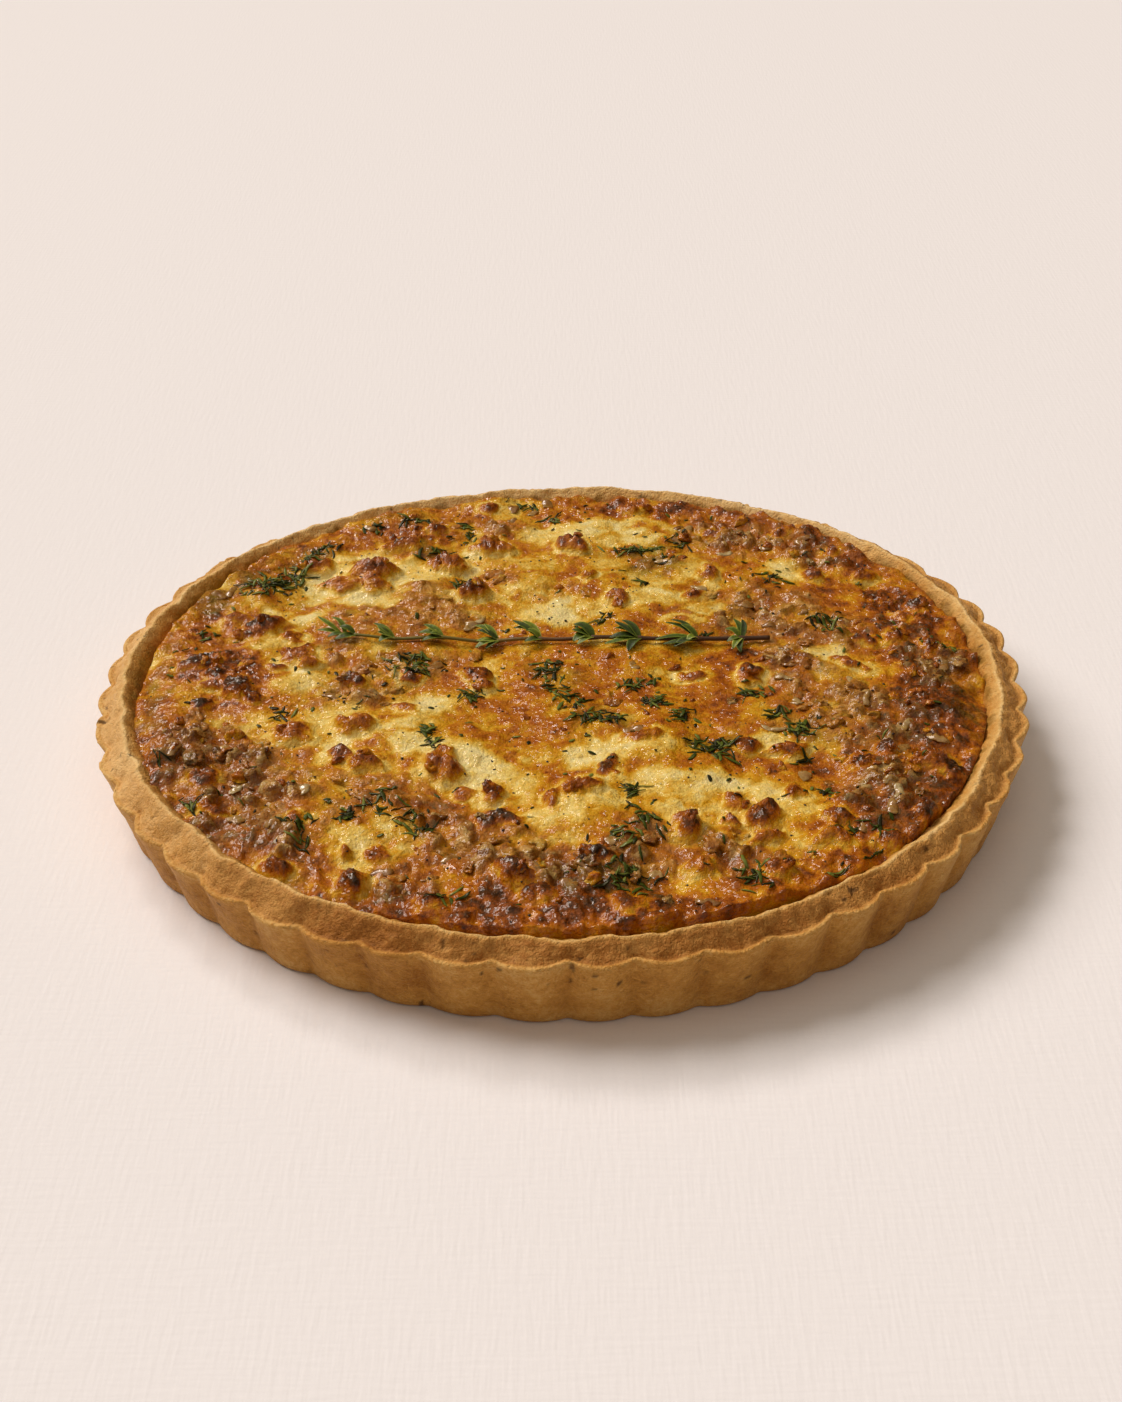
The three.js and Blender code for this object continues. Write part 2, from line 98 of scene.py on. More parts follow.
# Leaves: x of the root on the stem, reach to the tip along x, y and z, width, all in mm
THYME_LEAVES = [
    (-68.9, -7.6, 5.0, 3.4, 1.7), (-67.5, -4.6, 5.0, 3.2, 1.6), (-69.0, -7.4, 0.8, 1.0, 1.9),
    (-68.0, -4.8, -3.0, 0.6, 2.1),
    (-64.3, -6.2, -3.2, 0.2, 2.9), (-64.5, -5.0, 2.0, 1.6, 2.3),
    (-52.2, -6.6, 4.6, 2.8, 1.9), (-52.0, -5.2, 1.0, 1.8, 3.0), (-52.0, -4.8, -2.6, 0.4, 2.9),
    (-52.4, -5.0, 2.6, 3.0, 2.4),
    (-37.3, -6.0, 4.6, 2.0, 2.3), (-37.3, -7.4, 0.8, 1.2, 2.8), (-37.2, -6.4, -2.4, 0.2, 2.4),
    (-37.5, -3.6, -1.0, 2.0, 2.0),
    (-20.2, -7.2, 5.0, 2.6, 2.4), (-20.0, -6.6, 2.4, 2.4, 2.5), (-20.2, -6.9, -4.2, -0.2, 2.6),
    (-20.0, -6.8, -1.4, 0.8, 2.4),
    (-20.4, -4.0, 5.2, 3.0, 1.8), (-20.0, -3.8, -5.0, 0.0, 1.9),
    (-6.9, -8.6, 5.6, 3.4, 2.3), (-6.8, -8.4, 3.0, 2.2, 2.3), (-6.9, -5.6, 5.8, 3.2, 1.8),
    (-6.6, -5.2, -2.2, 0.4, 2.6),
    (-7.0, -4.4, 1.2, 2.4, 2.2),
    (9.5, -6.0, 3.2, 2.8, 3.2), (9.5, -6.2, -3.0, 0.2, 3.2), (9.4, -6.4, 0.8, 2.2, 2.6), (9.6, -4.6, 5.0, 2.2, 2.2),
    (9.4, -5.0, -4.6, 0.0, 2.2),
    (24.0, -5.4, 5.6, 3.2, 2.2), (24.0, -7.6, 4.4, 3.4, 2.3), (23.8, -7.4, 2.2, 2.4, 2.3),
    (23.6, -9.2, -0.8, 0.6, 2.8),
    (23.6, -10.6, -4.0, -0.2, 2.4), (24.2, -4.0, -8.4, -0.3, 2.6),
    (41.8, -9.6, 5.0, 3.0, 1.8), (41.6, -7.6, 6.0, 3.4, 1.7), (41.9, -5.0, 3.4, 3.2, 2.2),
    (41.6, -7.2, -5.0, 0.0, 2.6),
    (41.4, -10.4, -3.4, 0.0, 2.3), (41.2, -12.4, -1.6, 0.6, 1.9), (42.0, -3.4, -2.6, 0.8, 2.2),
    (55.7, -2.2, 6.2, 3.4, 1.9), (55.9, 0.2, 5.4, 3.6, 1.7), (55.4, -4.6, 2.4, 2.0, 2.4),
    (55.5, -3.0, -6.6, 0.0, 2.1),
    (55.8, -0.9, -8.2, -0.3, 2.2), (55.3, -4.4, -3.2, 0.6, 2.0),
]

# Patches on the filling: x, y, half length, half width, turn in degrees, strength. Pale melted cheese first
CREAM_PATCHES = [
    (-80, 61, 7, 10, 0, 1), (-70, 66, 8, 6, 0, 1), (-90, 22, 8, 4, 0, 0.8), (-92, 40, 6, 5, 0, 0.8),
    (-48, 58, 9, 4, 0, 0.9), (-62, 48, 10, 5, 10, 1), (-70, 77, 7, 5, 0, 0.9), (-55, 75, 8, 6, 0, 1),
    (-45, 66, 8, 6, 20, 1), (-29, 76, 8, 8, 0, 0.5), (-80, 37, 6, 5, 0, 1), (-8, 73, 9, 7, 0, 0.7),
    (-13, 57, 8, 6, 0, 0.7), (-4, 40, 10, 9, 0, 1), (-7, 96, 8, 9, 0, 0.8), (3, 96, 8, 7, 0, 1),
    (-18, 110, 9, 4, 0, 0.6), (10, 99, 9, 6, 0, 1), (24, 103, 12, 5, 0, 1), (22, 93, 12, 5, 0, 0.9),
    (15, 76, 8, 8, 0, 0.6), (30, 62, 9, 9, 0, 0.6), (12, 45, 9, 7, 0, 0.7), (28, 49, 12, 6, 20, 0.9),
    (45, 44, 9, 5, 0, 0.9), (38, 34, 8, 3, 10, 0.9), (45, 67, 6, 7, 0, 0.5), (75, 69, 7, 9, 0, 0.9),
    (95, 66, 6, 6, 0, 0.7), (96, 50, 5, 5, 0, 0.8), (83, 11, 9, 4, 0, 1), (97, 4, 9, 4, -20, 1),
    (-80, -7, 9, 6, 0, 0.7), (-70, -26, 11, 6, 15, 1), (-64, -39, 5, 11, 10, 1), (-40, -16, 12, 8, 10, 1),
    (-38, -41, 11, 5, -20, 1), (-22, -51, 14, 7, -35, 1), (-12, -61, 10, 6, -30, 0.9), (-5, -76, 12, 7, 0, 1),
    (12, -69, 8, 8, 0, 0.8), (14, -44, 18, 6, 12, 1), (28, -61, 15, 5, -5, 0.9), (45, -62, 13, 6, 0, 1),
    (32, -72, 11, 6, 0, 1), (60, -71, 9, 10, 0, 0.9), (57, -38, 8, 4, 10, 1), (78, -41, 3, 12, 15, 0.6),
    (63, -87, 7, 5, 0, 0.8), (36, -106, 9, 6, 0, 0.7), (-58, -85, 7, 6, 0, 0.9), (-53, -95, 10, 5, 0, 0.9),
    (-105, -27, 6, 3, 10, 0.8), (-113, -10, 5, 9, 0, 0.7), (-100, 42, 10, 5, 0, 0.5), (-42, -28, 7, 5, 0, 0.8),
]

# Golden skin where the custard has just caught
GOLDEN_PATCHES = [
    (-10, -31, 18, 20, 0, 1), (10, -13, 18, 12, 0, 1), (45, -16, 16, 14, 0, 1), (60, -49, 14, 8, 0, 1),
    (42, -49, 15, 7, 0, 1), (0, 8, 22, 7, 0, 0.8), (40, 8, 16, 6, 0, 0.9), (-30, 7, 14, 5, 0, 0.7),
    (-58, -66, 9, 6, 0, 1), (-76, -38, 9, 12, 0, 1), (-112, -13, 8, 10, 0, 1), (-85, -13, 6, 6, 0, 0.9),
    (-106, 36, 12, 8, 0, 0.9),
    (10, 62, 10, 9, 0, 0.4), (100, 42, 14, 12, 0, 1), (75, 52, 10, 8, 0, 0.8), (106, 10, 10, 15, 0, 1),
    (25, 115, 18, 5, 0, 0.7), (-60, 96, 9, 5, 0, 0.9), (36, -112, 30, 7, 0, 1), (80, -88, 15, 8, 30, 1),
    (-42, -110, 22, 7, -20, 0.9), (-95, -43, 12, 18, 0, 0.6), (-15, -23, 12, 8, 0, 0.8),
]

# Dark toasted crust
BROWN_PATCHES = [
    (-101, 6, 12, 12, 0, 1), (-98, -9, 9, 11, 0, 1), (-99, 30, 9, 10, 0, 0.9), (-110, -43, 11, 22, 0, 0.8),
    (-92, -54, 14, 18, 0, 0.8), (-100, -78, 12, 14, 30, 0.9), (-85, -93, 14, 8, -30, 0.8),
    (-58, -110, 16, 6, -20, 0.9),
    (-28, -117, 18, 6, -8, 0.9), (0, -110, 18, 9, 0, 1.5), (4, -98, 12, 9, 0, 1), (26, -117, 16, 6, 8, 0.8),
    (55, -99, 12, 9, 20, 0.9), (86, -74, 14, 14, 0, 0.8), (101, -54, 12, 16, 0, 1.3), (92, -44, 12, 8, 0, 0.8),
    (109, -14, 10, 22, 0, 1.5), (111, 24, 10, 20, 0, 1.3), (106, 49, 9, 9, 0, 1), (88, 81, 16, 8, -40, 1),
    (97, -26, 9, 14, 0, 1), (100, 10, 8, 12, 0, 0.9), (92, -52, 12, 8, 0, 1.6), (3, -96, 12, 7, 0, 1),
    (60, 94, 18, 9, -15, 0.6), (60, 9, 8, 5, 0, 0.6), (93, 22, 10, 5, 0, 0.8), (-45, 96, 10, 8, 0, 0.5),
    (-53, 87, 9, 7, 0, 0.8), (30, 115, 16, 5, 0, 0.5), (-25, 50, 9, 8, 0, 0.4), (-16, -77, 9, 6, 0, 0.7),
]

# Crumbled sausage showing at the surface
SAUSAGE_PATCHES = [
    (-47, 46, 18, 10, 0, 0.6), (-60, 33, 12, 8, 0, 0.5), (-45, 30, 12, 7, 0, 0.7), (-30, 36, 9, 7, 0, 0.8),
    (-20, 66, 7, 9, 0, 0.8), (-20, 101, 13, 6, 0, 0.9), (-70, 16, 10, 8, 0, 0.7), (-60, -11, 16, 9, 0, 1),
    (-45, -1, 8, 6, 0, 0.7), (-50, -67, 16, 12, 0, 0.6), (-30, -84, 18, 11, 0, 1), (-70, -89, 9, 12, 0, 1),
    (-45, -104, 12, 8, 0, 0.9), (-88, -59, 18, 22, 0, 1), (-105, -39, 10, 16, 0, 1), (60, 41, 20, 14, 0, 1),
    (80, 24, 14, 14, 0, 1), (72, 11, 10, 14, 0, 1), (113, 10, 9, 14, 0, 1), (60, 92, 16, 10, 0, 0.9),
    (35, 76, 10, 7, 0, 0.6), (85, -24, 18, 16, 0, 1), (75, -7, 10, 8, 0, 0.8), (95, -44, 14, 10, 0, 0.5),
    (88, -64, 12, 14, 0, 0.7), (15, -24, 7, 4, 0, 0.7), (22, -87, 12, 9, 0, 1), (45, -91, 16, 9, 0, 1),
    (5, -99, 12, 9, 0, 1), (-14, -93, 14, 9, 0, 1), (0, 50, 7, 9, 0, 0.5), (-80, -78, 12, 12, 0, 0.9),
    (47, 97, 10, 8, 0, 0.8), (85, 78, 12, 9, 0, 0.7), (-95, -93, 8, 10, 0, 0.8), (-42, 12, 10, 6, 0, 0.5),
]

# Custard turned green by the herbs lying in it
GREEN_PATCHES = [
    (-94, 59, 13, 10, 0, 1), (-86, 73, 7, 12, -20, 1), (-47, 6, 10, 7, 0, 0.8), (29, 74, 11, 10, 0, 0.7),
    (-113, 47, 6, 14, -25, 0.8), (-121, -8, 4, 30, 0, 0.7), (-44, 82, 8, 7, 0, 0.8), (10, -25, 10, 6, 10, 0.6),
    (44, -41, 9, 7, 0, 0.7), (24, 84, 14, 4, 0, 0.8), (-55, 104, 12, 5, 0, 0.6), (18, -103, 9, 8, 0, 0.5),
    (70, -32, 8, 6, 0, 0.6), (-3, 0, 7, 8, 0, 0.6), (119, -18, 4, 25, 0, 0.5), (12, 35, 5, 4, 0, 0.7),
]

# Lumps of browned cheese: x, y, length, width, height above the custard, turn, how dark from 0 to 1
BROWNED_CHEESE = [
    (-63, 65, 15, 13, 6.0, 20, 0.62), (-63, 57, 11, 8, 4.0, 0, 0.50), (-38, 72, 13, 10, 5.5, 0, 0.66),
    (-82, 71, 10, 8, 4.0, 10, 0.60), (-75, 60, 9, 8, 3.0, 0, 0.48), (-71, 55, 8, 6, 3.0, 0, 0.52),
    (-55, 86, 10, 7, 4.0, 0, 0.78), (-24, 85, 12, 9, 4.5, 0, 0.62), (-28, 51, 10, 10, 5.5, 30, 0.80),
    (-94, 30, 11, 9, 5.0, 20, 0.92), (-99, 25, 8, 6, 4.0, 0, 0.78), (-103, 35, 7, 6, 3.0, 0, 0.55),
    (-84, 25, 6, 5, 3.0, 0, 0.66), (-80, 11, 11, 8, 4.5, 20, 0.62), (-77, 4, 8, 7, 4.0, 60, 0.55),
    (-87, 4, 5, 4, 3.0, 0, 0.70), (-111, 7, 15, 7, 5.0, 25, 0.98), (-104, -1, 8, 6, 4.0, 0, 0.92),
    (-98, -8, 12, 9, 5.5, 120, 0.95), (-107, -16, 7, 5, 4.0, 10, 0.99), (-92, -15, 8, 5, 4.0, 0, 0.9),
    (-62, -4, 7, 7, 6.0, 90, 0.88), (-46, -1, 6, 4, 2.5, 0, 0.76), (-26, -2, 12, 6, 4.2, 110, 0.76),
    (-46, -19, 7, 4, 2.2, 140, 0.56), (-61, -31, 10, 9, 4.5, 60, 0.52), (-78, -34, 11, 9, 3.6, 0, 0.54),
    (-94, -37, 7, 6, 4.5, 0, 0.92), (-63, -46, 7, 6, 5.8, 100, 0.80), (-56, -51, 8, 7, 5.4, 0, 0.74),
    (-34, -52, 13, 9, 4.8, 110, 0.60), (-27, -64, 7, 4, 3.0, 0, 0.62), (-19, -66, 8, 6, 5.4, 70, 0.80),
    (-16, -78, 13, 6, 4.5, 10, 0.93), (5, -64, 11, 9, 4.2, 60, 0.56), (-2, -68, 6, 8, 3.4, 0, 0.60),
    (13, -51, 10, 4, 4.2, 75, 0.74), (23, -37, 11, 5, 3.0, 10, 0.56), (48, -67, 7, 5, 4.2, 80, 0.62),
    (55, -75, 8, 8, 4.8, 0, 0.80), (34, -81, 10, 9, 5.2, 60, 0.80), (45, -77, 6, 5, 3.4, 0, 0.74),
    (54, -84, 8, 6, 4.0, 20, 0.62), (64, -41, 10, 6, 3.6, 10, 0.62), (53, -40, 7, 5, 2.6, 0, 0.70),
    (104, -49, 11, 10, 6.0, 0, 0.60), (109, -52, 8, 6, 4.5, 70, 0.99), (92, -44, 8, 7, 4.5, 0, 0.92),
    (84, -50, 8, 7, 3.6, 0, 0.86), (98, -74, 9, 7, 4.0, 45, 0.90), (-13, -103, 9, 8, 4.8, 20, 0.84),
    (3, 86, 9, 7, 4.5, 0, 0.66), (18, 47, 8, 7, 3.6, 0, 0.66), (8, 62, 6, 5, 2.8, 0, 0.70),
    (43, 51, 6, 4, 4.0, 20, 0.82), (47, 64, 5, 10, 3.2, 0, 0.54), (82, 65, 8, 7, 5.0, 60, 0.78),
    (99, 65, 7, 6, 3.4, 0, 0.62), (57, 1, 9, 7, 3.8, 60, 0.70), (38, 0, 9, 5, 2.6, 0, 0.54),
    (88, 5, 12, 5, 3.5, 160, 0.60), (94, 19, 10, 5, 3.2, 0, 0.72), (104, 22, 8, 6, 3.4, 60, 0.70),
    (114, 44, 6, 9, 3.8, 0, 0.92), (108, 35, 7, 6, 3.2, 0, 0.62), (113, 17, 6, 8, 3.6, 0, 0.78),
    (75, -77, 7, 6, 3.8, 0, 0.70), (64, -64, 7, 6, 3.6, 0, 0.60), (72, -86, 9, 7, 3.2, 30, 0.56),
    (-55, -104, 8, 8, 5.0, 90, 0.84), (-57, -92, 6, 5, 3.4, 0, 0.58), (-49, -93, 5, 5, 3.0, 0, 0.62),
    (-72, -77, 6, 5, 3.2, 0, 0.74), (-104, -6, 8, 8, 3.0, 0, 0.62), (8, -96, 10, 8, 4.0, 10, 0.97),
    (36, -99, 9, 7, 3.4, 0, 0.52), (56, -99, 9, 8, 3.8, 0, 0.66), (-6, -110, 9, 6, 3.2, 0, 0.82),
    (16, -114, 9, 6, 3.0, 0, 0.78), (-33, -114, 9, 6, 3.4, 0, 0.72), (-75, -99, 9, 6, 3.4, -30, 0.74),
    (-95, -72, 8, 6, 3.4, 0, 0.76), (-100, -56, 9, 7, 3.4, 50, 0.78), (88, -86, 8, 6, 3.2, 0, 0.72),
    (-44, 99, 7, 5, 3.2, 0, 0.74), (52, 96, 7, 5, 3.0, 0, 0.70), (76, 94, 7, 6, 3.2, 0, 0.64),
    (90, 79, 8, 6, 3.2, 0, 0.70), (24, 113, 8, 5, 2.6, 0, 0.56), (-26, 115, 8, 5, 2.6, 0, 0.58),
]

# Share of the strips listed for the tufts that is laid
HERB_SHARE = 0.9

# Chopped herbs: x, y, half length and half width of the tuft, its turn, number of strips
HERB_TUFTS = [
    (-94, 58, 11, 7, 20, 95), (-87, 71, 4, 10, -20, 44), (-80, 83, 6, 3, 30, 18), (-46, 5, 8, 6, 0, 56),
    (-38, -36, 2, 8, 10, 22), (-4, 4, 6, 5, 0, 30), (-1, -10, 4, 8, 0, 24), (10, -26, 8, 4, 10, 40),
    (44, -41, 7, 5, 0, 54), (70, -32, 7, 4, 20, 36), (22, -6, 6, 3, 20, 26), (26, -16, 4, 3, 0, 26),
    (18, -103, 9, 7, 40, 46), (-40, -79, 4, 7, 10, 24), (22, -78, 5, 8, 20, 28), (-103, -71, 7, 6, 0, 26),
    (50, -104, 6, 8, 30, 26), (57, -11, 5, 4, 0, 18), (63, -23, 4, 3, 0, 16), (35, -24, 5, 3, 0, 18),
    (24, 83, 12, 2, 5, 32), (39, 89, 4, 5, 0, 16), (34, 76, 3, 4, 0, 10), (27, 58, 3, 2, 0, 8),
    (69, 62, 3, 6, 20, 16), (83, 30, 4, 5, 40, 24), (-65, 98, 4, 3, 0, 12), (-52, 104, 6, 2, 0, 14),
    (-43, 82, 5, 4, 0, 16), (-33, 98, 4, 6, 0, 12), (-14, 119, 6, 2, 0, 10), (-3, 107, 3, 5, 0, 10),
    (20, -64, 5, 3, 0, 16), (-27, -12, 4, 4, 0, 18), (80, -82, 6, 2, 0, 14), (85, -95, 5, 3, 30, 12),
    (73, -61, 2, 4, 20, 9), (-59, -76, 5, 3, 40, 14), (-71, -85, 4, 8, 10, 20), (-50, -70, 6, 6, 0, 16),
    (15, -86, 4, 5, 20, 16), (-30, -113, 4, 3, 0, 10), (120, 16, 2, 6, 0, 10), (-34, 59, 2, 5, -10, 9),
    (-82, -23, 4, 5, 20, 10), (-111, 24, 4, 3, 0, 8), (68, -46, 3, 3, 0, 6), (4, -16, 4, 4, 0, 12),
    (45, 24, 3, 2, 0, 6), (12, 35, 3, 2, 0, 9), (73, -100, 4, 3, 0, 8), (-116, -46, 3, 6, 20, 10),
]


# Helpers


def linear(code):
    """Linear red, green, blue and alpha of an sRGB hex colour."""
    channels = np.array([int(code[i : i + 2], 16) for i in (1, 3, 5)]) / 255
    curved = ((channels + 0.055) / 1.055) ** 2.4
    return (*np.where(channels <= 0.04045, channels / 12.92, curved).tolist(), 1.0)


def add_node(tree, kind, inputs=None, **settings):
    """Add a node, set its attributes, and set or link its inputs, given by name or number."""
    node = tree.nodes.new(kind)
    for name, value in settings.items():
        setattr(node, name, value)
    for name, value in (inputs or {}).items():
        if isinstance(value, bpy.types.NodeSocket):
            tree.links.new(value, node.inputs[name])
        else:
            node.inputs[name].default_value = value
    return node


def smoothstep(low, high, value):
    """Rise smoothly from 0 at low to 1 at high, as 3t^2 - 2t^3."""
    t = np.clip((value - low) / (high - low), 0, 1)
    return t * t * (3 - 2 * t)


def hashed(cells, seed):
    """A random number from 0 to 1 for each whole-numbered cell, by mixing the bits of its coordinates."""
    bits = np.full(cells.shape[:-1], seed * 2654435761 % 4294967296, np.uint64)
    for axis, prime in zip(range(cells.shape[-1]), (374761393, 668265263, 2246822519)):
        bits = bits + cells[..., axis].astype(np.int64).astype(np.uint64) * np.uint64(prime)
        bits = (bits ^ (bits >> np.uint64(13))) * np.uint64(1274126177) & np.uint64(0xFFFFFFFF)
    return ((bits ^ (bits >> np.uint64(16))) & np.uint64(0xFFFFFF)).astype(float) / 0xFFFFFF


def noise(points, wavelength, seed, octaves=1):
    """Smooth noise of about -1 to 1 in 2 or 3 dimensions: random corner values blended across each cell,
    summed over octaves that halve in wavelength and in height."""
    points = np.asarray(points, float)
    total = np.zeros(points.shape[:-1])
    size, scale = points.shape[-1], 1.0
    for octave in range(octaves):
        scaled = points * (2**octave / wavelength) + 17.3 * octave
        corner = np.floor(scaled)
        blend = scaled - corner
        blend = blend * blend * blend * (blend * (blend * 6 - 15) + 10)
        layer = 0
        for k in range(2**size):
            step = np.array([(k >> axis) & 1 for axis in range(size)])
            weight = np.prod(np.where(step == 1, blend, 1 - blend), axis=-1)
            layer = layer + weight * hashed(corner + step + 4096, seed + 31 * octave)
        total += scale * (2 * layer - 1)
        scale *= 0.5
    return total


def ridges(points, wavelength, seed, octaves=1):
    """Sharp crests: 1 where the noise crosses zero, falling to either side."""
    return 1 - 2 * np.abs(noise(points, wavelength, seed, octaves))


def crumbs(points, size, seed):
    """Rounded crumbs packed side by side: each cell of a square grid holds one random point, and the height
    is 1 minus 1.6 times the squared distance to the nearest one. Also a random number for each crumb."""
    scaled = np.asarray(points, float) / size
    home = np.floor(scaled)
    nearest = np.full(scaled.shape[:-1], 9.0)
    tint = np.zeros(scaled.shape[:-1])
    for dx in (-1, 0, 1):
        for dy in (-1, 0, 1):
            cell = home + (dx, dy)
            place = cell + 0.15 + 0.7 * np.stack([hashed(cell + 4096, seed), hashed(cell + 4096, seed + 1)], -1)
            squared = np.sum((scaled - place) ** 2, -1)
            closer = squared < nearest
            nearest = np.where(closer, squared, nearest)
            tint = np.where(closer, hashed(cell + 4096, seed + 2), tint)
    return 1 - 1.6 * nearest, tint


def squared_distance(x, y, middle_x, middle_y, half_length, half_width, turn):
    """Squared distance from the middle of an ellipse, turned by degrees, in which its outline is at 1: the
    offsets along and across it, each divided by the half axis."""
    cosine, sine = np.cos(np.radians(turn)), np.sin(np.radians(turn))
    along = ((x - middle_x) * cosine + (y - middle_y) * sine) / half_length
    across = ((y - middle_y) * cosine - (x - middle_x) * sine) / half_width
    return along**2 + across**2


def shifted(x, y, along, across, angle):
    """x and y moved by an offset along and across a direction, given by its angle in radians."""
    cosine, sine = np.cos(angle), np.sin(angle)
    return x + along * cosine - across * sine, y + along * sine + across * cosine


def patch_field(x, y, patches, edge=0.55):
    """Strength of the strongest patch at each point: full inside the ellipse, fading out across its edge."""
    field = np.zeros_like(x)
    for *ellipse, strength in patches:
        distance = np.sqrt(squared_distance(x, y, *ellipse))
        field = np.maximum(field, strength * (1 - smoothstep(1 - edge, 1 + edge, distance)))
    return field


def out_of_round(angle):
    """How far the hand-lined round strays from a circle, as a factor on the radius: 1 plus waves of two, three
    and four to the turn. The solids have the same."""
    return (1 + 0.0067 * np.cos(2 * angle) + 0.0072 * np.sin(2 * angle) - 0.0046 * np.cos(3 * angle)
            + 0.0103 * np.sin(3 * angle) - 0.0023 * np.cos(4 * angle))


def round_place(angle, radius):
    """x and y in mm of a point of the uneven round at an angle and a nominal radius."""
    stretched = radius * out_of_round(angle)
    return CENTRE_SHIFT[0] + stretched * np.cos(angle), CENTRE_SHIFT[1] + stretched * np.sin(angle)


def nominal_radius(x, y):
    """The radius that a point would have if the round were a true circle."""
    x, y = x - CENTRE_SHIFT[0], y - CENTRE_SHIFT[1]
    return np.hypot(x, y) / out_of_round(np.arctan2(y, x))


def drawn_in(x, y, reach):
    """Points pulled towards the middle so that none is beyond a nominal radius."""
    share = np.minimum(1, reach / np.maximum(nominal_radius(x, y), 1))
    return CENTRE_SHIFT[0] + (x - CENTRE_SHIFT[0]) * share, CENTRE_SHIFT[1] + (y - CENTRE_SHIFT[1]) * share


def baked_height(x, y):
    """Height of the plain custard in mm: a dome that falls with the fourth power of the radius, plus six
    ripples, each shorter than the last and turned by the golden angle. The solids have the same."""
    share = np.hypot(x - CENTRE_SHIFT[0], y - CENTRE_SHIFT[1]) / WALL_INSIDE_TOP
    height = FILLING_EDGE_HEIGHT + FILLING_DOME * (1 - share**4)
    for i in range(6):
        along = x * np.cos(i * GOLDEN_ANGLE) + y * np.sin(i * GOLDEN_ANGLE)
        height = height + 0.48 * 0.9**i * np.sin(2 * np.pi * along / (74 * 0.78**i) + 1.7 * i)
    return height


def smooth_route(points, count):
    """A smooth curve through points, as a number of places: a cubic from each to the next, whose direction at a
    point is that from the point before it to the one after."""
    share = np.linspace(0, len(points) - 1, count)
    knots = np.vstack([2 * points[0] - points[1], points, 2 * points[-1] - points[-2]])
    piece = np.minimum(share.astype(int), len(points) - 2)
    t = (share - piece)[:, None]
    p0, p1, p2, p3 = (knots[piece + k] for k in range(4))
    return 0.5 * (2 * p1 + (p2 - p0) * t + (2 * p0 - 5 * p1 + 4 * p2 - p3) * t**2
                  + (3 * p1 - p0 - 3 * p2 + p3) * t**3)


def sprig_nearness(x, y):
    """1 along the thyme sprig, fading to 0 within 8 mm of it."""
    outside = np.maximum(np.maximum(SPRIG_ENDS[0] - x, x - SPRIG_ENDS[1]), 0)
    return 1 - smoothstep(3, 8, np.hypot(outside, y - np.interp(x, SPRIG_ROUTE[:, 0], SPRIG_ROUTE[:, 1])))


def dome(squared):
    """A lump's profile, round on top: 1 minus the squared distance, and never below 0."""
    return np.clip(1 - squared, 0, 1)


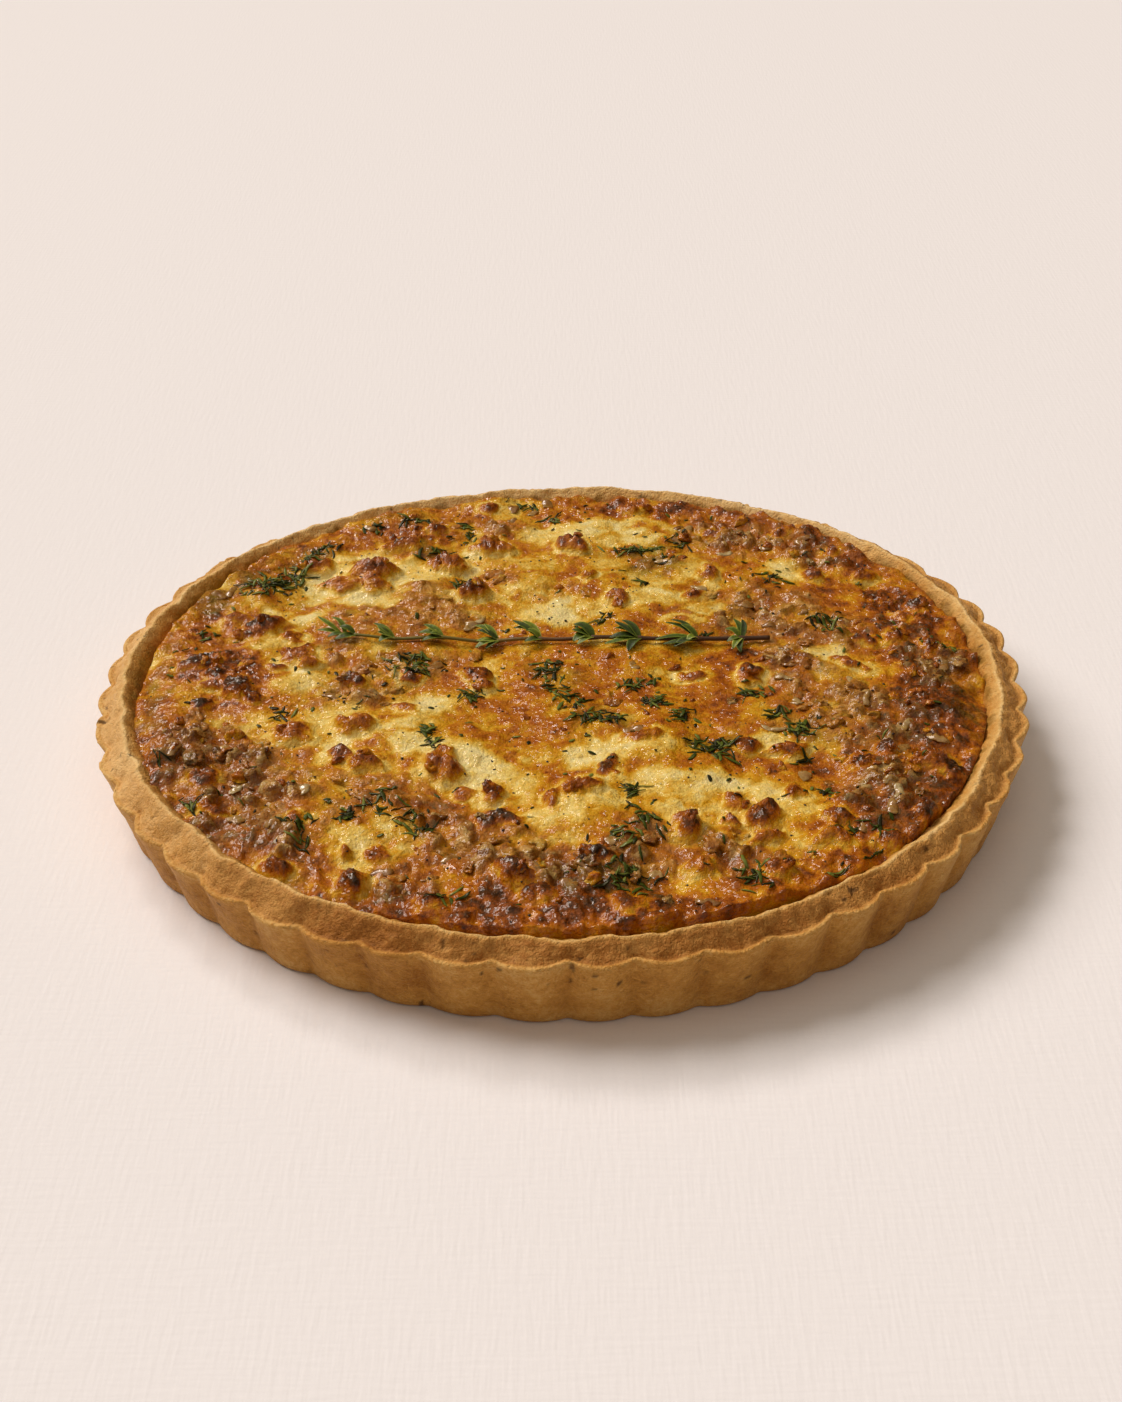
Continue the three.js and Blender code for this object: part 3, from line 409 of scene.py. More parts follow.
def custard_surface(x, y):
    """Height in mm and the paint of the filling's skin at x and y in mm. The height is the baked dome, a slow
    swell, crests and packed nuggets where it is rough, low plateaus where cheese has melted, and a knobbly
    dome for each lump of browned cheese."""
    place = np.stack([x, y], -1)
    radius = nominal_radius(x, y)
    warp_x = x + 3.6 * noise(place, 9, 11, 3)
    warp_y = y + 3.6 * noise(place, 9, 12, 3)
    cream = patch_field(warp_x, warp_y, CREAM_PATCHES)
    golden = patch_field(warp_x, warp_y, GOLDEN_PATCHES)
    brown = patch_field(warp_x, warp_y, BROWN_PATCHES)
    sausage = patch_field(warp_x, warp_y, SAUSAGE_PATCHES) * (1 - 0.8 * cream)
    green = patch_field(warp_x, warp_y, GREEN_PATCHES)
    rim = smoothstep(88, 120, radius) * (1 - 0.5 * smoothstep(117, 124, radius) * (x < 0))
    near = sprig_nearness(x, y)

    rough = np.clip(0.50 + 0.75 * sausage + 0.5 * brown + 0.4 * rim - 0.5 * cream - 0.1 * golden, 0.2, 1.6)
    crest = ridges(place, 10, 21, 2)
    bent = place + 1.5 * np.stack([noise(place, 5, 5, 2), noise(place, 5, 6, 2)], -1)
    large, large_tint = crumbs(bent, 6.0, 41)
    nugget = smoothstep(0.25, 0.9, large) * smoothstep(0.35, 0.6, large_tint)
    small, _ = crumbs(place + 0.9 * np.stack([noise(place, 3, 7), noise(place, 3, 8)], -1), 3.1, 51)
    knob = np.clip(small, 0, 1) ** 0.8
    fine, _ = crumbs(place + 0.5 * np.stack([noise(place, 1.6, 91), noise(place, 1.6, 92)], -1), 1.7, 93)
    craggy = 0.55 * knob + 0.45 * np.clip(fine, 0, 1)
    relief = 0.7 * noise(place, 26, 3, 2) + 0.5 * cream + 0.5 * noise(place, 7, 4, 3)
    relief = relief + rough * (
        0.45 * crest + 1.25 * nugget * (0.25 + sausage) + 0.7 * knob + 0.4 * noise(place, 2.2, 9, 2))

    # Lumps, each with a wandering foot and a knobbly top
    raised, tops, cover = np.zeros_like(x), np.zeros_like(x), np.zeros_like(x)
    foot_x = x + 1.7 * noise(place, 5.5, 13, 3)
    foot_y = y + 1.7 * noise(place, 5.5, 14, 3)
    for px, py, length, width, height, turn, dark in BROWNED_CHEESE:
        distance = squared_distance(foot_x, foot_y, px, py, LUMP_REACH * length, LUMP_REACH * width, turn)
        profile = dome(distance)
        knobbly = profile * (0.42 + 0.58 * craggy)
        raised = np.maximum(raised, 1.12 * min(height, 0.55 * width) * knobbly)
        cover = np.maximum(cover, smoothstep(0.0, 0.35, profile))
        tops = np.maximum(tops, 0.22 + 0.70 * dark * smoothstep(0.12, 0.72, knobbly) ** 1.2)
        skirt = (1 - smoothstep(0.9, 2.1, distance)) * (dark < 0.85)
        cream = np.maximum(cream, 0.85 * skirt)
    relief = relief * (1 - 0.6 * cover) + raised
    relief = relief * (1 - near) + np.clip(0.6 * relief, -0.8, 0.55) * near
    relief = relief - (0.3 + 1.1 * noise(place, 7, 15, 2)) * smoothstep(119, 125, radius)
    relief = relief - 0.7 * smoothstep(125.5, 127.4, radius)
    # At the back the custard rose nearly to the lip
    relief = relief + (1.2 + 0.5 * noise(place, 9, 16, 2)) * smoothstep(116, 124, radius) * smoothstep(0, 70, y)

    # The side towards +X and -Y stood nearer the heat and is browner
    browning = 0.38 + 0.055 * (0.8 * x - 0.6 * y) / WALL_INSIDE_TOP + 0.07 * golden + 0.10 * rim
    browning = browning + 0.20 * brown - 0.33 * cream + 0.05 * sausage
    browning = browning + 0.09 * (crest - 0.3) * (1 - 0.7 * cream) + 0.13 * (1 - 0.5 * cream) * noise(place, 8, 61, 3)
    browning = browning + 0.16 * (large_tint - 0.5) * sausage + 0.10 * (knob - 0.4) * rough
    spots = smoothstep(0.30, 0.60, noise(place, 5.0, 71, 2)) * (1 - 0.4 * cream)
    scorch = smoothstep(0.35, 0.62, noise(place, 11, 72, 2)) * knob * np.clip(brown + 0.4 * rim, 0, 1)
    browning = browning + 0.12 * spots + 0.12 * scorch + 0.10 * cream * (1 - cream)
    browning = np.minimum(browning, 0.8)
    lump_toast = cover * (tops + 0.10 * noise(place, 3, 62, 2))
    crumbly = 0.25 + 0.9 * nugget + 0.35 * smoothstep(0.0, 0.5, noise(place, 6, 63, 3))
    return {
        "height": baked_height(x, y) + relief,
        "toast": np.clip(np.maximum(browning * (1 - 0.35 * cover), lump_toast), 0, 1),
        "meat": np.clip(sausage * (1 - cover) * crumbly, 0, 1),
        "green": np.clip(green * (0.55 + 0.6 * noise(place, 4, 81, 2)), 0, 1) * (1 - cover),
        "cream": cream,
        "sausage": sausage,
        "brown": brown,
        "cover": cover,
    }


def make_object(name, vertices, quads, triangles, material, attributes=None):
    """Put arrays of places in mm, quads and triangles into a smooth mesh object that rides on the root body."""
    mesh = bpy.data.meshes.new(name)
    corners = np.concatenate([quads.ravel(), triangles.ravel()]).astype(np.int32)
    sizes = np.concatenate([np.full(len(quads), 4), np.full(len(triangles), 3)]).astype(np.int32)
    mesh.vertices.add(len(vertices))
    mesh.vertices.foreach_set("co", (np.asarray(vertices) * MM).astype(np.float32).ravel())
    mesh.loops.add(len(corners))
    mesh.loops.foreach_set("vertex_index", corners)
    mesh.polygons.add(len(sizes))
    mesh.polygons.foreach_set("loop_start", np.concatenate([[0], np.cumsum(sizes)[:-1]]).astype(np.int32))
    mesh.polygons.foreach_set("use_smooth", np.ones(len(sizes), bool))
    for key, values in (attributes or {}).items():
        layer = mesh.attributes.new(key, "FLOAT", "POINT")
        layer.data.foreach_set("value", np.asarray(values, np.float32).ravel())
    mesh.update(calc_edges=True)
    mesh.validate()
    mesh.materials.append(material)
    piece = bpy.data.objects.new(name, mesh)
    bpy.context.collection.objects.link(piece)
    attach(piece, "root")
    return piece


def shell_faces(count, rows, columns):
    """Faces of closed shells made of rows of columns points each, followed by a first and a last pole."""
    size = rows * columns + 2
    start = (np.arange(count) * size)[:, None, None]
    row = np.arange(rows - 1)[None, :, None] * columns
    column = np.arange(columns)[None, None, :]
    after = (column + 1) % columns
    quads = np.stack([start + row + column, start + row + after, start + row + columns + after,
                      start + row + columns + column], -1).reshape(-1, 4)
    start, column, after = start[:, 0], column[0], after[0]
    first, last = start + rows * columns, start + rows * columns + 1
    end = start + (rows - 1) * columns
    first_cap = np.stack(np.broadcast_arrays(first, start + after, start + column), -1).reshape(-1, 3)
    last_cap = np.stack(np.broadcast_arrays(last, end + column, end + after), -1).reshape(-1, 3)
    return quads, np.concatenate([first_cap, last_cap])


def shells(rings, first, last):
    """Vertices and faces of closed shells: rings has shape (shells, rows, columns, 3), and first and last are
    the poles, (shells, 3). Columns run counter-clockwise when seen from the last pole."""
    count, rows, columns, _ = rings.shape
    vertices = np.concatenate([rings.reshape(count, -1, 3), first[:, None], last[:, None]], 1).reshape(-1, 3)
    return (vertices, *shell_faces(count, rows, columns))


def spread(values, rows, columns):
    """One value per shell, or one per ring, repeated for each of its points and both poles."""
    values = np.asarray(values, float)
    if values.ndim == 1:
        return np.repeat(values, rows * columns + 2)
    points = np.repeat(values[:, :, None], columns, 2).reshape(len(values), -1)
    return np.concatenate([points, values[:, :1], values[:, -1:]], 1).ravel()


def swept(centres, half_width, half_thickness, sides, fold=0.0):
    """Strips and stems: an ellipse of the given half width and half thickness carried along each path, with
    its broad side level and its edges lifted by fold times the half width."""
    along = np.gradient(centres, axis=1)
    along = along / np.linalg.norm(along, axis=-1, keepdims=True)
    across = np.cross(np.array([0.0, 0.0, 1.0]), along)
    across = across / np.maximum(np.linalg.norm(across, axis=-1, keepdims=True), 1e-6)
    up = np.cross(along, across)
    turn = 2 * np.pi * np.arange(sides) / sides
    cosine = np.cos(turn)[None, None, :, None]
    sine = np.sin(turn)[None, None, :, None]
    width = np.broadcast_to(half_width, centres.shape[:2])[:, :, None, None]
    thickness = np.broadcast_to(half_thickness, centres.shape[:2])[:, :, None, None]
    lift = thickness * sine + fold * width * np.abs(cosine)
    rings = centres[:, :, None] + across[:, :, None] * width * cosine + up[:, :, None] * lift
    return shells(rings, centres[:, 0], centres[:, -1])


def lumps(x, y, length, width, height, turn, rows, columns, seed, crag=0.3, sink=0.5, tilt=0.0):
    """Craggy lumps on the filling: an ellipsoid whose radius is pushed by crests and finer noise, flatter
    below, leaning and tilted a little, and sunk by a share of its height."""
    count = len(x)
    latitude = np.pi * (np.arange(rows) + 1) / (rows + 1) - np.pi / 2
    longitude = 2 * np.pi * np.arange(columns) / columns
    way = np.stack([
        np.cos(latitude)[:, None] * np.cos(longitude), np.cos(latitude)[:, None] * np.sin(longitude),
        np.broadcast_to(np.sin(latitude)[:, None], (rows, columns)),
    ], -1).reshape(-1, 3)
    way = np.concatenate([way, [(0, 0, -1), (0, 0, 1)]])
    offset = 40.0 * np.arange(count)[:, None, None]
    sample = way[None] + offset
    push = 1 + crag * (ridges(sample, 0.95, seed, 2) - 0.35) + 0.5 * crag * noise(sample, 0.42, seed + 5, 2)
    points = way[None] * push[..., None]
    up = points[..., 2]
    up = np.where(up < 0, 0.4 * up, up)
    draw = np.random.default_rng(seed)
    lean = draw.uniform(-0.25, 0.25, (count, 2))
    side = points[..., :2] + lean[:, None] * up[..., None] ** 2
    side = side * np.stack([length, width], -1)[:, None] / 2
    px, py = shifted(x[:, None], y[:, None], side[..., 0], side[..., 1], np.radians(turn)[:, None])
    slope = draw.uniform(-tilt, tilt, (count, 2))
    ground = custard_surface(x, y)["height"]
    pz = (ground - sink * height)[:, None] + up * height[:, None] + np.sum(side * slope[:, None], -1)
    places = np.stack([px, py, pz], -1)
    rings = places[:, :-2].reshape(count, rows, columns, 3)
    return shells(rings, places[:, -2], places[:, -1])


def scatter(count, seed, weight, reach=123.5):
    """Random places on the filling, kept where a random draw is below the weight there."""
    draw = np.random.default_rng(seed)
    kept = np.zeros((0, 2))
    while len(kept) < count:
        radius = reach * np.sqrt(draw.random(4 * count))
        places = np.stack(round_place(2 * np.pi * draw.random(4 * count), radius), -1)
        kept = np.concatenate([kept, places[draw.random(4 * count) < weight(*places.T)]])
    return kept[:count, 0], kept[:count, 1], draw


# Materials


def new_material(name):
    """A material with only a Principled shader and its output. Returns the material, its tree and the shader."""
    material = bpy.data.materials.new(name)
    material.use_nodes = True
    tree = material.node_tree
    tree.nodes.clear()
    shader = add_node(tree, "ShaderNodeBsdfPrincipled")
    add_node(tree, "ShaderNodeOutputMaterial", {"Surface": shader.outputs["BSDF"]})
    return material, tree, shader


def set_shader(shader, **constants):
    """Set constant inputs of the shader; underscores stand for spaces."""
    for name, value in constants.items():
        shader.inputs[name.replace("_", " ")].default_value = value


def ramp(tree, factor, stops):
    """A colour ramp through (position, hex colour) stops."""
    node = add_node(tree, "ShaderNodeValToRGB", {"Fac": factor})
    elements = node.color_ramp.elements
    while len(elements) < len(stops):
        elements.new(0.5)
    for element, (position, code) in zip(elements, stops):
        element.position = position
        element.color = linear(code)
    return node.outputs["Color"]


def object_noise(tree, millimetres, detail=3.0, roughness=0.55):
    """Noise of the given feature size on the piece's own coordinates."""
    place = add_node(tree, "ShaderNodeTexCoord").outputs["Object"]
    inputs = {"Vector": place, "Scale": 1000 / millimetres, "Detail": detail, "Roughness": roughness}
    return add_node(tree, "ShaderNodeTexNoise", inputs).outputs["Fac"]


def cells(tree, millimetres):
    """Distance from the middle of rounded cells of the given size, and a random value for each cell."""
    place = add_node(tree, "ShaderNodeTexCoord").outputs["Object"]
    node = add_node(tree, "ShaderNodeTexVoronoi", {"Vector": place, "Scale": 1000 / millimetres})
    random = add_node(tree, "ShaderNodeSeparateColor", {0: node.outputs["Color"]}).outputs[0]
    return node.outputs["Distance"], random


def painted(tree, name):
    """A painted attribute of the piece, as a factor."""
    return add_node(tree, "ShaderNodeAttribute", attribute_name=name).outputs["Fac"]


def arithmetic(tree, operation, *values):
    """A Math node on two or three values."""
    return add_node(tree, "ShaderNodeMath", dict(enumerate(values)), operation=operation).outputs[0]


def swayed(tree, factor, pattern, amount):
    """A factor moved up and down by a pattern from 0 to 1, by half the amount either way."""
    return arithmetic(tree, "ADD", factor, arithmetic(tree, "MULTIPLY_ADD", pattern, amount, -amount / 2))


def mixed(tree, factor, first, second):
    """Mix two colours by a factor."""
    node = add_node(tree, "ShaderNodeMix", {0: factor}, data_type="RGBA")
    for socket, value in ((6, first), (7, second)):
        if isinstance(value, bpy.types.NodeSocket):
            tree.links.new(value, node.inputs[socket])
        else:
            node.inputs[socket].default_value = value
    return node.outputs[2]


def bump(tree, shader, height, millimetres, strength=1.0, layer="Normal"):
    """Raise the surface, or the film on it with the layer "Coat Normal", by a height factor times a distance."""
    node = add_node(tree, "ShaderNodeBump", {"Height": height, "Distance": millimetres * MM, "Strength": strength})
    tree.links.new(node.outputs["Normal"], shader.inputs[layer])


def gratin_material(settings):
    """Egg custard and cheese browned under heat. It is moist and oily, so it has a thin clear gloss over a
    slightly translucent body, and its colour runs from cream through gold and orange to burnt brown as it
    toasts. Mottling is 3 mm and curd under 1 mm, which shows as fine sparkle."""
    material, tree, shader = new_material(GRATIN)
    mottle = object_noise(tree, 3.4, 4, 0.6)
    curd = object_noise(tree, 0.9, 3, 0.6)
    distance, random = cells(tree, 2.3)
    shift = arithmetic(tree, "MULTIPLY_ADD", mottle, 0.56, -0.28)
    shift = arithmetic(tree, "MULTIPLY_ADD", curd, 0.26, arithmetic(tree, "SUBTRACT", shift, 0.13))
    shift = arithmetic(tree, "MULTIPLY_ADD", random, 0.12, arithmetic(tree, "SUBTRACT", shift, 0.06))
    # Brown freckles in the middle of about one cell in five
    dot = arithmetic(tree, "LESS_THAN", distance, arithmetic(tree, "MULTIPLY_ADD", random, 1.0, -0.78))
    shift = arithmetic(tree, "MULTIPLY_ADD", dot, 0.14, shift)
    # Pale cheese is even, and browned skin is the more mottled
    contrast = arithmetic(tree, "MULTIPLY_ADD", painted(tree, "toast"), 1.1, 0.45)
    toast = arithmetic(tree, "MULTIPLY_ADD", shift, contrast, painted(tree, "toast"))
    skin = ramp(tree, toast, [
        (0.0, "#f8e6a0"), (0.14, "#efcd66"), (0.28, "#d79f18"), (0.42, "#c27a06"), (0.56, "#ae5e02"),
        (0.70, "#884002"), (0.84, "#562a04"), (1.0, "#301806"),
    ])
    flesh = ramp(tree, swayed(tree, mottle, random, 0.4), [
        (0.3, "#573710"), (0.43, "#8a6024"), (0.56, "#b48640"), (0.72, "#d8b46c"),
    ])
    colour = mixed(tree, arithmetic(tree, "MULTIPLY", painted(tree, "meat"), 0.7), skin, flesh)
    colour = mixed(tree, arithmetic(tree, "MULTIPLY", painted(tree, "green"), 0.72), colour, linear("#6a6618"))
    tree.links.new(colour, shader.inputs["Base Color"])
    rough = arithmetic(tree, "MULTIPLY_ADD", mottle, 0.35, 0.22)
    tree.links.new(rough, shader.inputs["Roughness"])
    grain = arithmetic(tree, "MULTIPLY_ADD", mottle, 1.5, arithmetic(tree, "MULTIPLY", curd, 1.5))
    grain = arithmetic(tree, "MULTIPLY_ADD", distance, -0.5, grain)
    bump(tree, shader, grain, 0.6, 0.9)
    # The oil fills the finest grain, so the film only follows beads of about 2 mm and glints on each of them
    bump(tree, shader, object_noise(tree, 1.9, 1, 0.5), 1.1, 1.0, "Coat Normal")
    # Fat gathers on the browned skin, and melted cheese between it is duller
    oily = add_node(tree, "ShaderNodeMapRange", {
        "Value": painted(tree, "toast"), "From Min": 0.3, "From Max": 0.62,
        "To Min": 0.6 * settings.gloss, "To Max": settings.gloss}).outputs[0]
    tree.links.new(oily, shader.inputs["Coat Weight"])
    set_shader(shader, IOR=1.45, Specular_IOR_Level=0.2, Specular_Tint=linear("#ffd890"),
               Coat_Roughness=0.07, Coat_IOR=1.44,
               Subsurface_Weight=0.08, Subsurface_Radius=(1.0, 0.5, 0.2), Subsurface_Scale=0.002)
    return material


def onion_material():
    """Softened onion. Baking makes it glassy and pale, with streaks of brown about 2 mm apart, and it stays
    wet."""
    material, tree, shader = new_material("softened_onion")
    streak = object_noise(tree, 1.8, 3, 0.55)
    value = swayed(tree, streak, painted(tree, "tint"), 0.5)
    colour = ramp(tree, value, [(0.15, "#7a4a14"), (0.4, "#936628"), (0.65, "#a5844a"), (0.9, "#bfae80")])
    tree.links.new(colour, shader.inputs["Base Color"])
    bump(tree, shader, streak, 0.3)
    set_shader(shader, Roughness=0.3, IOR=1.42, Coat_Weight=0.8, Coat_Roughness=0.09, Subsurface_Weight=0.3,
               Subsurface_Radius=(1.0, 0.8, 0.5), Subsurface_Scale=0.002)
    return material


def herb_material():
    """Chopped dill and thyme, baked in. The leaf darkens to deep olive green and keeps a satin, oily face."""
    material, tree, shader = new_material("baked_chopped_herb")
    grain = object_noise(tree, 1.2, 2)
    value = swayed(tree, painted(tree, "tint"), grain, 0.5)
    colour = ramp(tree, value, [(0.1, "#151904"), (0.4, "#283408"), (0.7, "#425214"), (0.95, "#6c7630")])
    tree.links.new(colour, shader.inputs["Base Color"])
    bump(tree, shader, grain, 0.15)
    set_shader(shader, Roughness=0.4, IOR=1.42, Specular_IOR_Level=0.3, Specular_Tint=linear("#ffe8b0"),
               Coat_Weight=0.12, Coat_Roughness=0.2)
    return material


def pepper_material():
    """Cracked black pepper: dry, dark, matte husk with a few brown faces."""
    material, tree, shader = new_material("cracked_black_pepper")
    colour = ramp(tree, object_noise(tree, 0.6, 1), [(0.3, "#120d0a"), (0.7, "#39261a")])
    tree.links.new(colour, shader.inputs["Base Color"])
    set_shader(shader, Roughness=0.6, IOR=1.45)
    return material


def thyme_leaf_material():
    """Fresh thyme leaf. The upper face is green and satin with fine hairs, and it is yellower and paler towards
    its base and at the edges."""
    material, tree, shader = new_material("fresh_thyme_leaf")
    grain = object_noise(tree, 1.0, 3)
    value = swayed(tree, painted(tree, "tint"), grain, 0.5)
    colour = ramp(tree, value, [(0.05, "#243204"), (0.35, "#4c600c"), (0.65, "#84921e"), (0.95, "#d0d070")])
    tree.links.new(colour, shader.inputs["Base Color"])
    bump(tree, shader, grain, 0.12)
    set_shader(shader, Roughness=0.42, IOR=1.42, Sheen_Weight=0.05, Subsurface_Weight=0.1,
               Subsurface_Radius=(0.6, 1.0, 0.2), Subsurface_Scale=0.0006)
    return material


def thyme_stem_material():
    """Thyme stem. The young end is green, and the cut end has turned to thin brown bark with fine streaks."""
    material, tree, shader = new_material("thyme_stem_bark")
    grain = object_noise(tree, 0.9, 2)
    value = swayed(tree, painted(tree, "tint"), grain, 0.3)
    colour = ramp(tree, value, [(0.0, "#76702f"), (0.35, "#7d6b2c"), (0.6, "#6a4a22"), (0.95, "#4c2f18")])
    tree.links.new(colour, shader.inputs["Base Color"])
    bump(tree, shader, grain, 0.1)
    set_shader(shader, Roughness=0.5, IOR=1.45)
    return material


def pastry_material(settings):
    """Shortcrust: flour and butter baked dry. It is matte with a faint butter sheen, and tan, clouded over
    9 mm, with freckles of about 2 mm and flour grain under 1 mm. It is redder on the cut rim."""
    material, tree, shader = new_material("baked_shortcrust_pastry")
    cloud = object_noise(tree, 9.0, 4, 0.6)
    freckle = object_noise(tree, 2.2, 4, 0.65)
    flour = object_noise(tree, 0.7, 2, 0.6)
    value = arithmetic(tree, "MULTIPLY_ADD", cloud, 0.45, arithmetic(tree, "MULTIPLY_ADD", freckle, 0.45, -0.42))
    # Besides how baked the crust is, this painted value carries painted light and painted shade of the key light
    value = arithmetic(tree, "ADD", value, painted(tree, "bake_and_shade"))
    value = arithmetic(tree, "MULTIPLY_ADD", flour, 0.34, arithmetic(tree, "SUBTRACT", value, 0.17))
    skin = ramp(tree, value, [
        (0.0, "#f6d69a"), (0.25, "#e6ba72"), (0.5, "#cc9346"), (0.75, "#a46a28"), (1.0, "#6e3f14"),
    ])
    cut = ramp(tree, value, [(0.0, "#f2c98a"), (0.4, "#cf9a54"), (0.7, "#a66b2e"), (1.0, "#74421a")])
    colour = mixed(tree, painted(tree, "cut"), skin, cut)
    stain = arithmetic(tree, "MULTIPLY", painted(tree, "stain"), arithmetic(tree, "MULTIPLY", freckle, 1.5))
    colour = mixed(tree, stain, colour, linear("#8a6420"))
    colour = mixed(tree, painted(tree, "fleck"), colour, linear("#3f2412"))
    tree.links.new(colour, shader.inputs["Base Color"])
    grain = arithmetic(tree, "ADD", freckle, arithmetic(tree, "MULTIPLY", flour, 1.1))
    bump(tree, shader, grain, 0.75, 1.0)
    set_shader(shader, Roughness=0.6, IOR=1.45, Specular_IOR_Level=0.3, Specular_Tint=linear("#ffd890"),
               Coat_Weight=settings.sheen, Coat_Roughness=0.4,
               Subsurface_Weight=0.06, Subsurface_Radius=(1.0, 0.6, 0.3), Subsurface_Scale=0.002)
    return material


def cloth_material(settings):
    """Plain cotton cloth: matte white, with a weave of about 1 mm that barely shows."""
    material, tree, shader = new_material("plain_cotton_cloth")
    colour = mixed(tree, object_noise(tree, 1.2, 2), (*settings.floor_colour, 1), linear("#f1f1f7"))
    tree.links.new(colour, shader.inputs["Base Color"])
    # Warp and weft: noise drawn out 8 to 1 along each thread
    place = add_node(tree, "ShaderNodeTexCoord").outputs["Object"]
    threads = []
    for stretch in ((90, 720, 1), (720, 90, 1)):
        along = add_node(tree, "ShaderNodeMapping", {"Vector": place, "Scale": stretch}).outputs["Vector"]
        thread = add_node(tree, "ShaderNodeTexNoise", {"Vector": along, "Scale": 1.0, "Detail": 1.0})
        threads.append(thread.outputs["Fac"])
    bump(tree, shader, arithmetic(tree, "ADD", *threads), 0.25, 0.4)
    set_shader(shader, Roughness=0.85, IOR=1.45)
    return material


# Settings


class QuichePastrySettings(bpy.types.PropertyGroup):
    """Size and finish of the pastry case."""

    rim_diameter: bpy.props.FloatProperty(
        name="Rim diameter", description="Over the tips of the flutes at the top, on average",
        default=(CASE_HIGH[0] - CASE_LOW[0] + CASE_HIGH[1] - CASE_LOW[1]) / 2, unit="LENGTH")
    flutes: bpy.props.IntProperty(name="Flutes", description="Number of flutes round the wall", default=48, min=8)
    flute_depth: bpy.props.FloatProperty(
        name="Flute depth", description="From tip to groove at the cut edge", default=0.003, unit="LENGTH")
    edge_height: bpy.props.FloatProperty(
        name="Edge height", description="Height of the crisp outer edge", default=0.022, unit="LENGTH")
    lip_height: bpy.props.FloatProperty(
        name="Lip height", description="Height of the rounded inner lip", default=0.0254, unit="LENGTH")
    sheen: bpy.props.FloatProperty(
        name="Butter sheen", description="Weight of the soft gloss", default=0.06, min=0, max=1, subtype="FACTOR")


class QuicheFillingSettings(bpy.types.PropertyGroup):
    """How much lies on the filling, and how wet it looks."""

    gloss: bpy.props.FloatProperty(
        name="Oily gloss", description="Weight of the wet film", default=0.78, min=0, max=1, subtype="FACTOR")
    crags: bpy.props.IntProperty(name="Small crags", description="Small toasted crags", default=120, min=0)
    sausage: bpy.props.IntProperty(name="Sausage crumbs", description="Crumbs at the surface", default=120, min=0)
    onion: bpy.props.IntProperty(name="Onion pieces", description="Softened onion pieces", default=60, min=0)
    flecks: bpy.props.IntProperty(name="Herb flecks", description="Loose chopped herb", default=240, min=0)
    pepper: bpy.props.IntProperty(name="Pepper specks", description="Cracked pepper", default=520, min=0)


class QuicheThymeSettings(bpy.types.PropertyGroup):
    """Size of the thyme sprig."""

    cut_radius: bpy.props.FloatProperty(
        name="Radius at the cut", description="Stem radius at its cut end", default=0.00075, unit="LENGTH")
    tip_radius: bpy.props.FloatProperty(
        name="Radius at the tip", description="Stem radius at its leafy tip", default=0.0004, unit="LENGTH")


class QuicheStageSettings(bpy.types.PropertyGroup):
    """Floor, lights and camera."""

    floor_colour: bpy.props.FloatVectorProperty(
        name="Floor", description="Colour of the table", default=linear("#f6f6fb")[:3], subtype="COLOR")
    key_power: bpy.props.FloatProperty(
        name="Key light", description="Soft light from the left, in watts per square metre", default=2.23, min=0)
    fill: bpy.props.FloatProperty(name="Fill", description="Light of the room", default=0.66, min=0)
    focal_length: bpy.props.FloatProperty(name="Focal length", description="In millimetres", default=51.9)


# Pieces


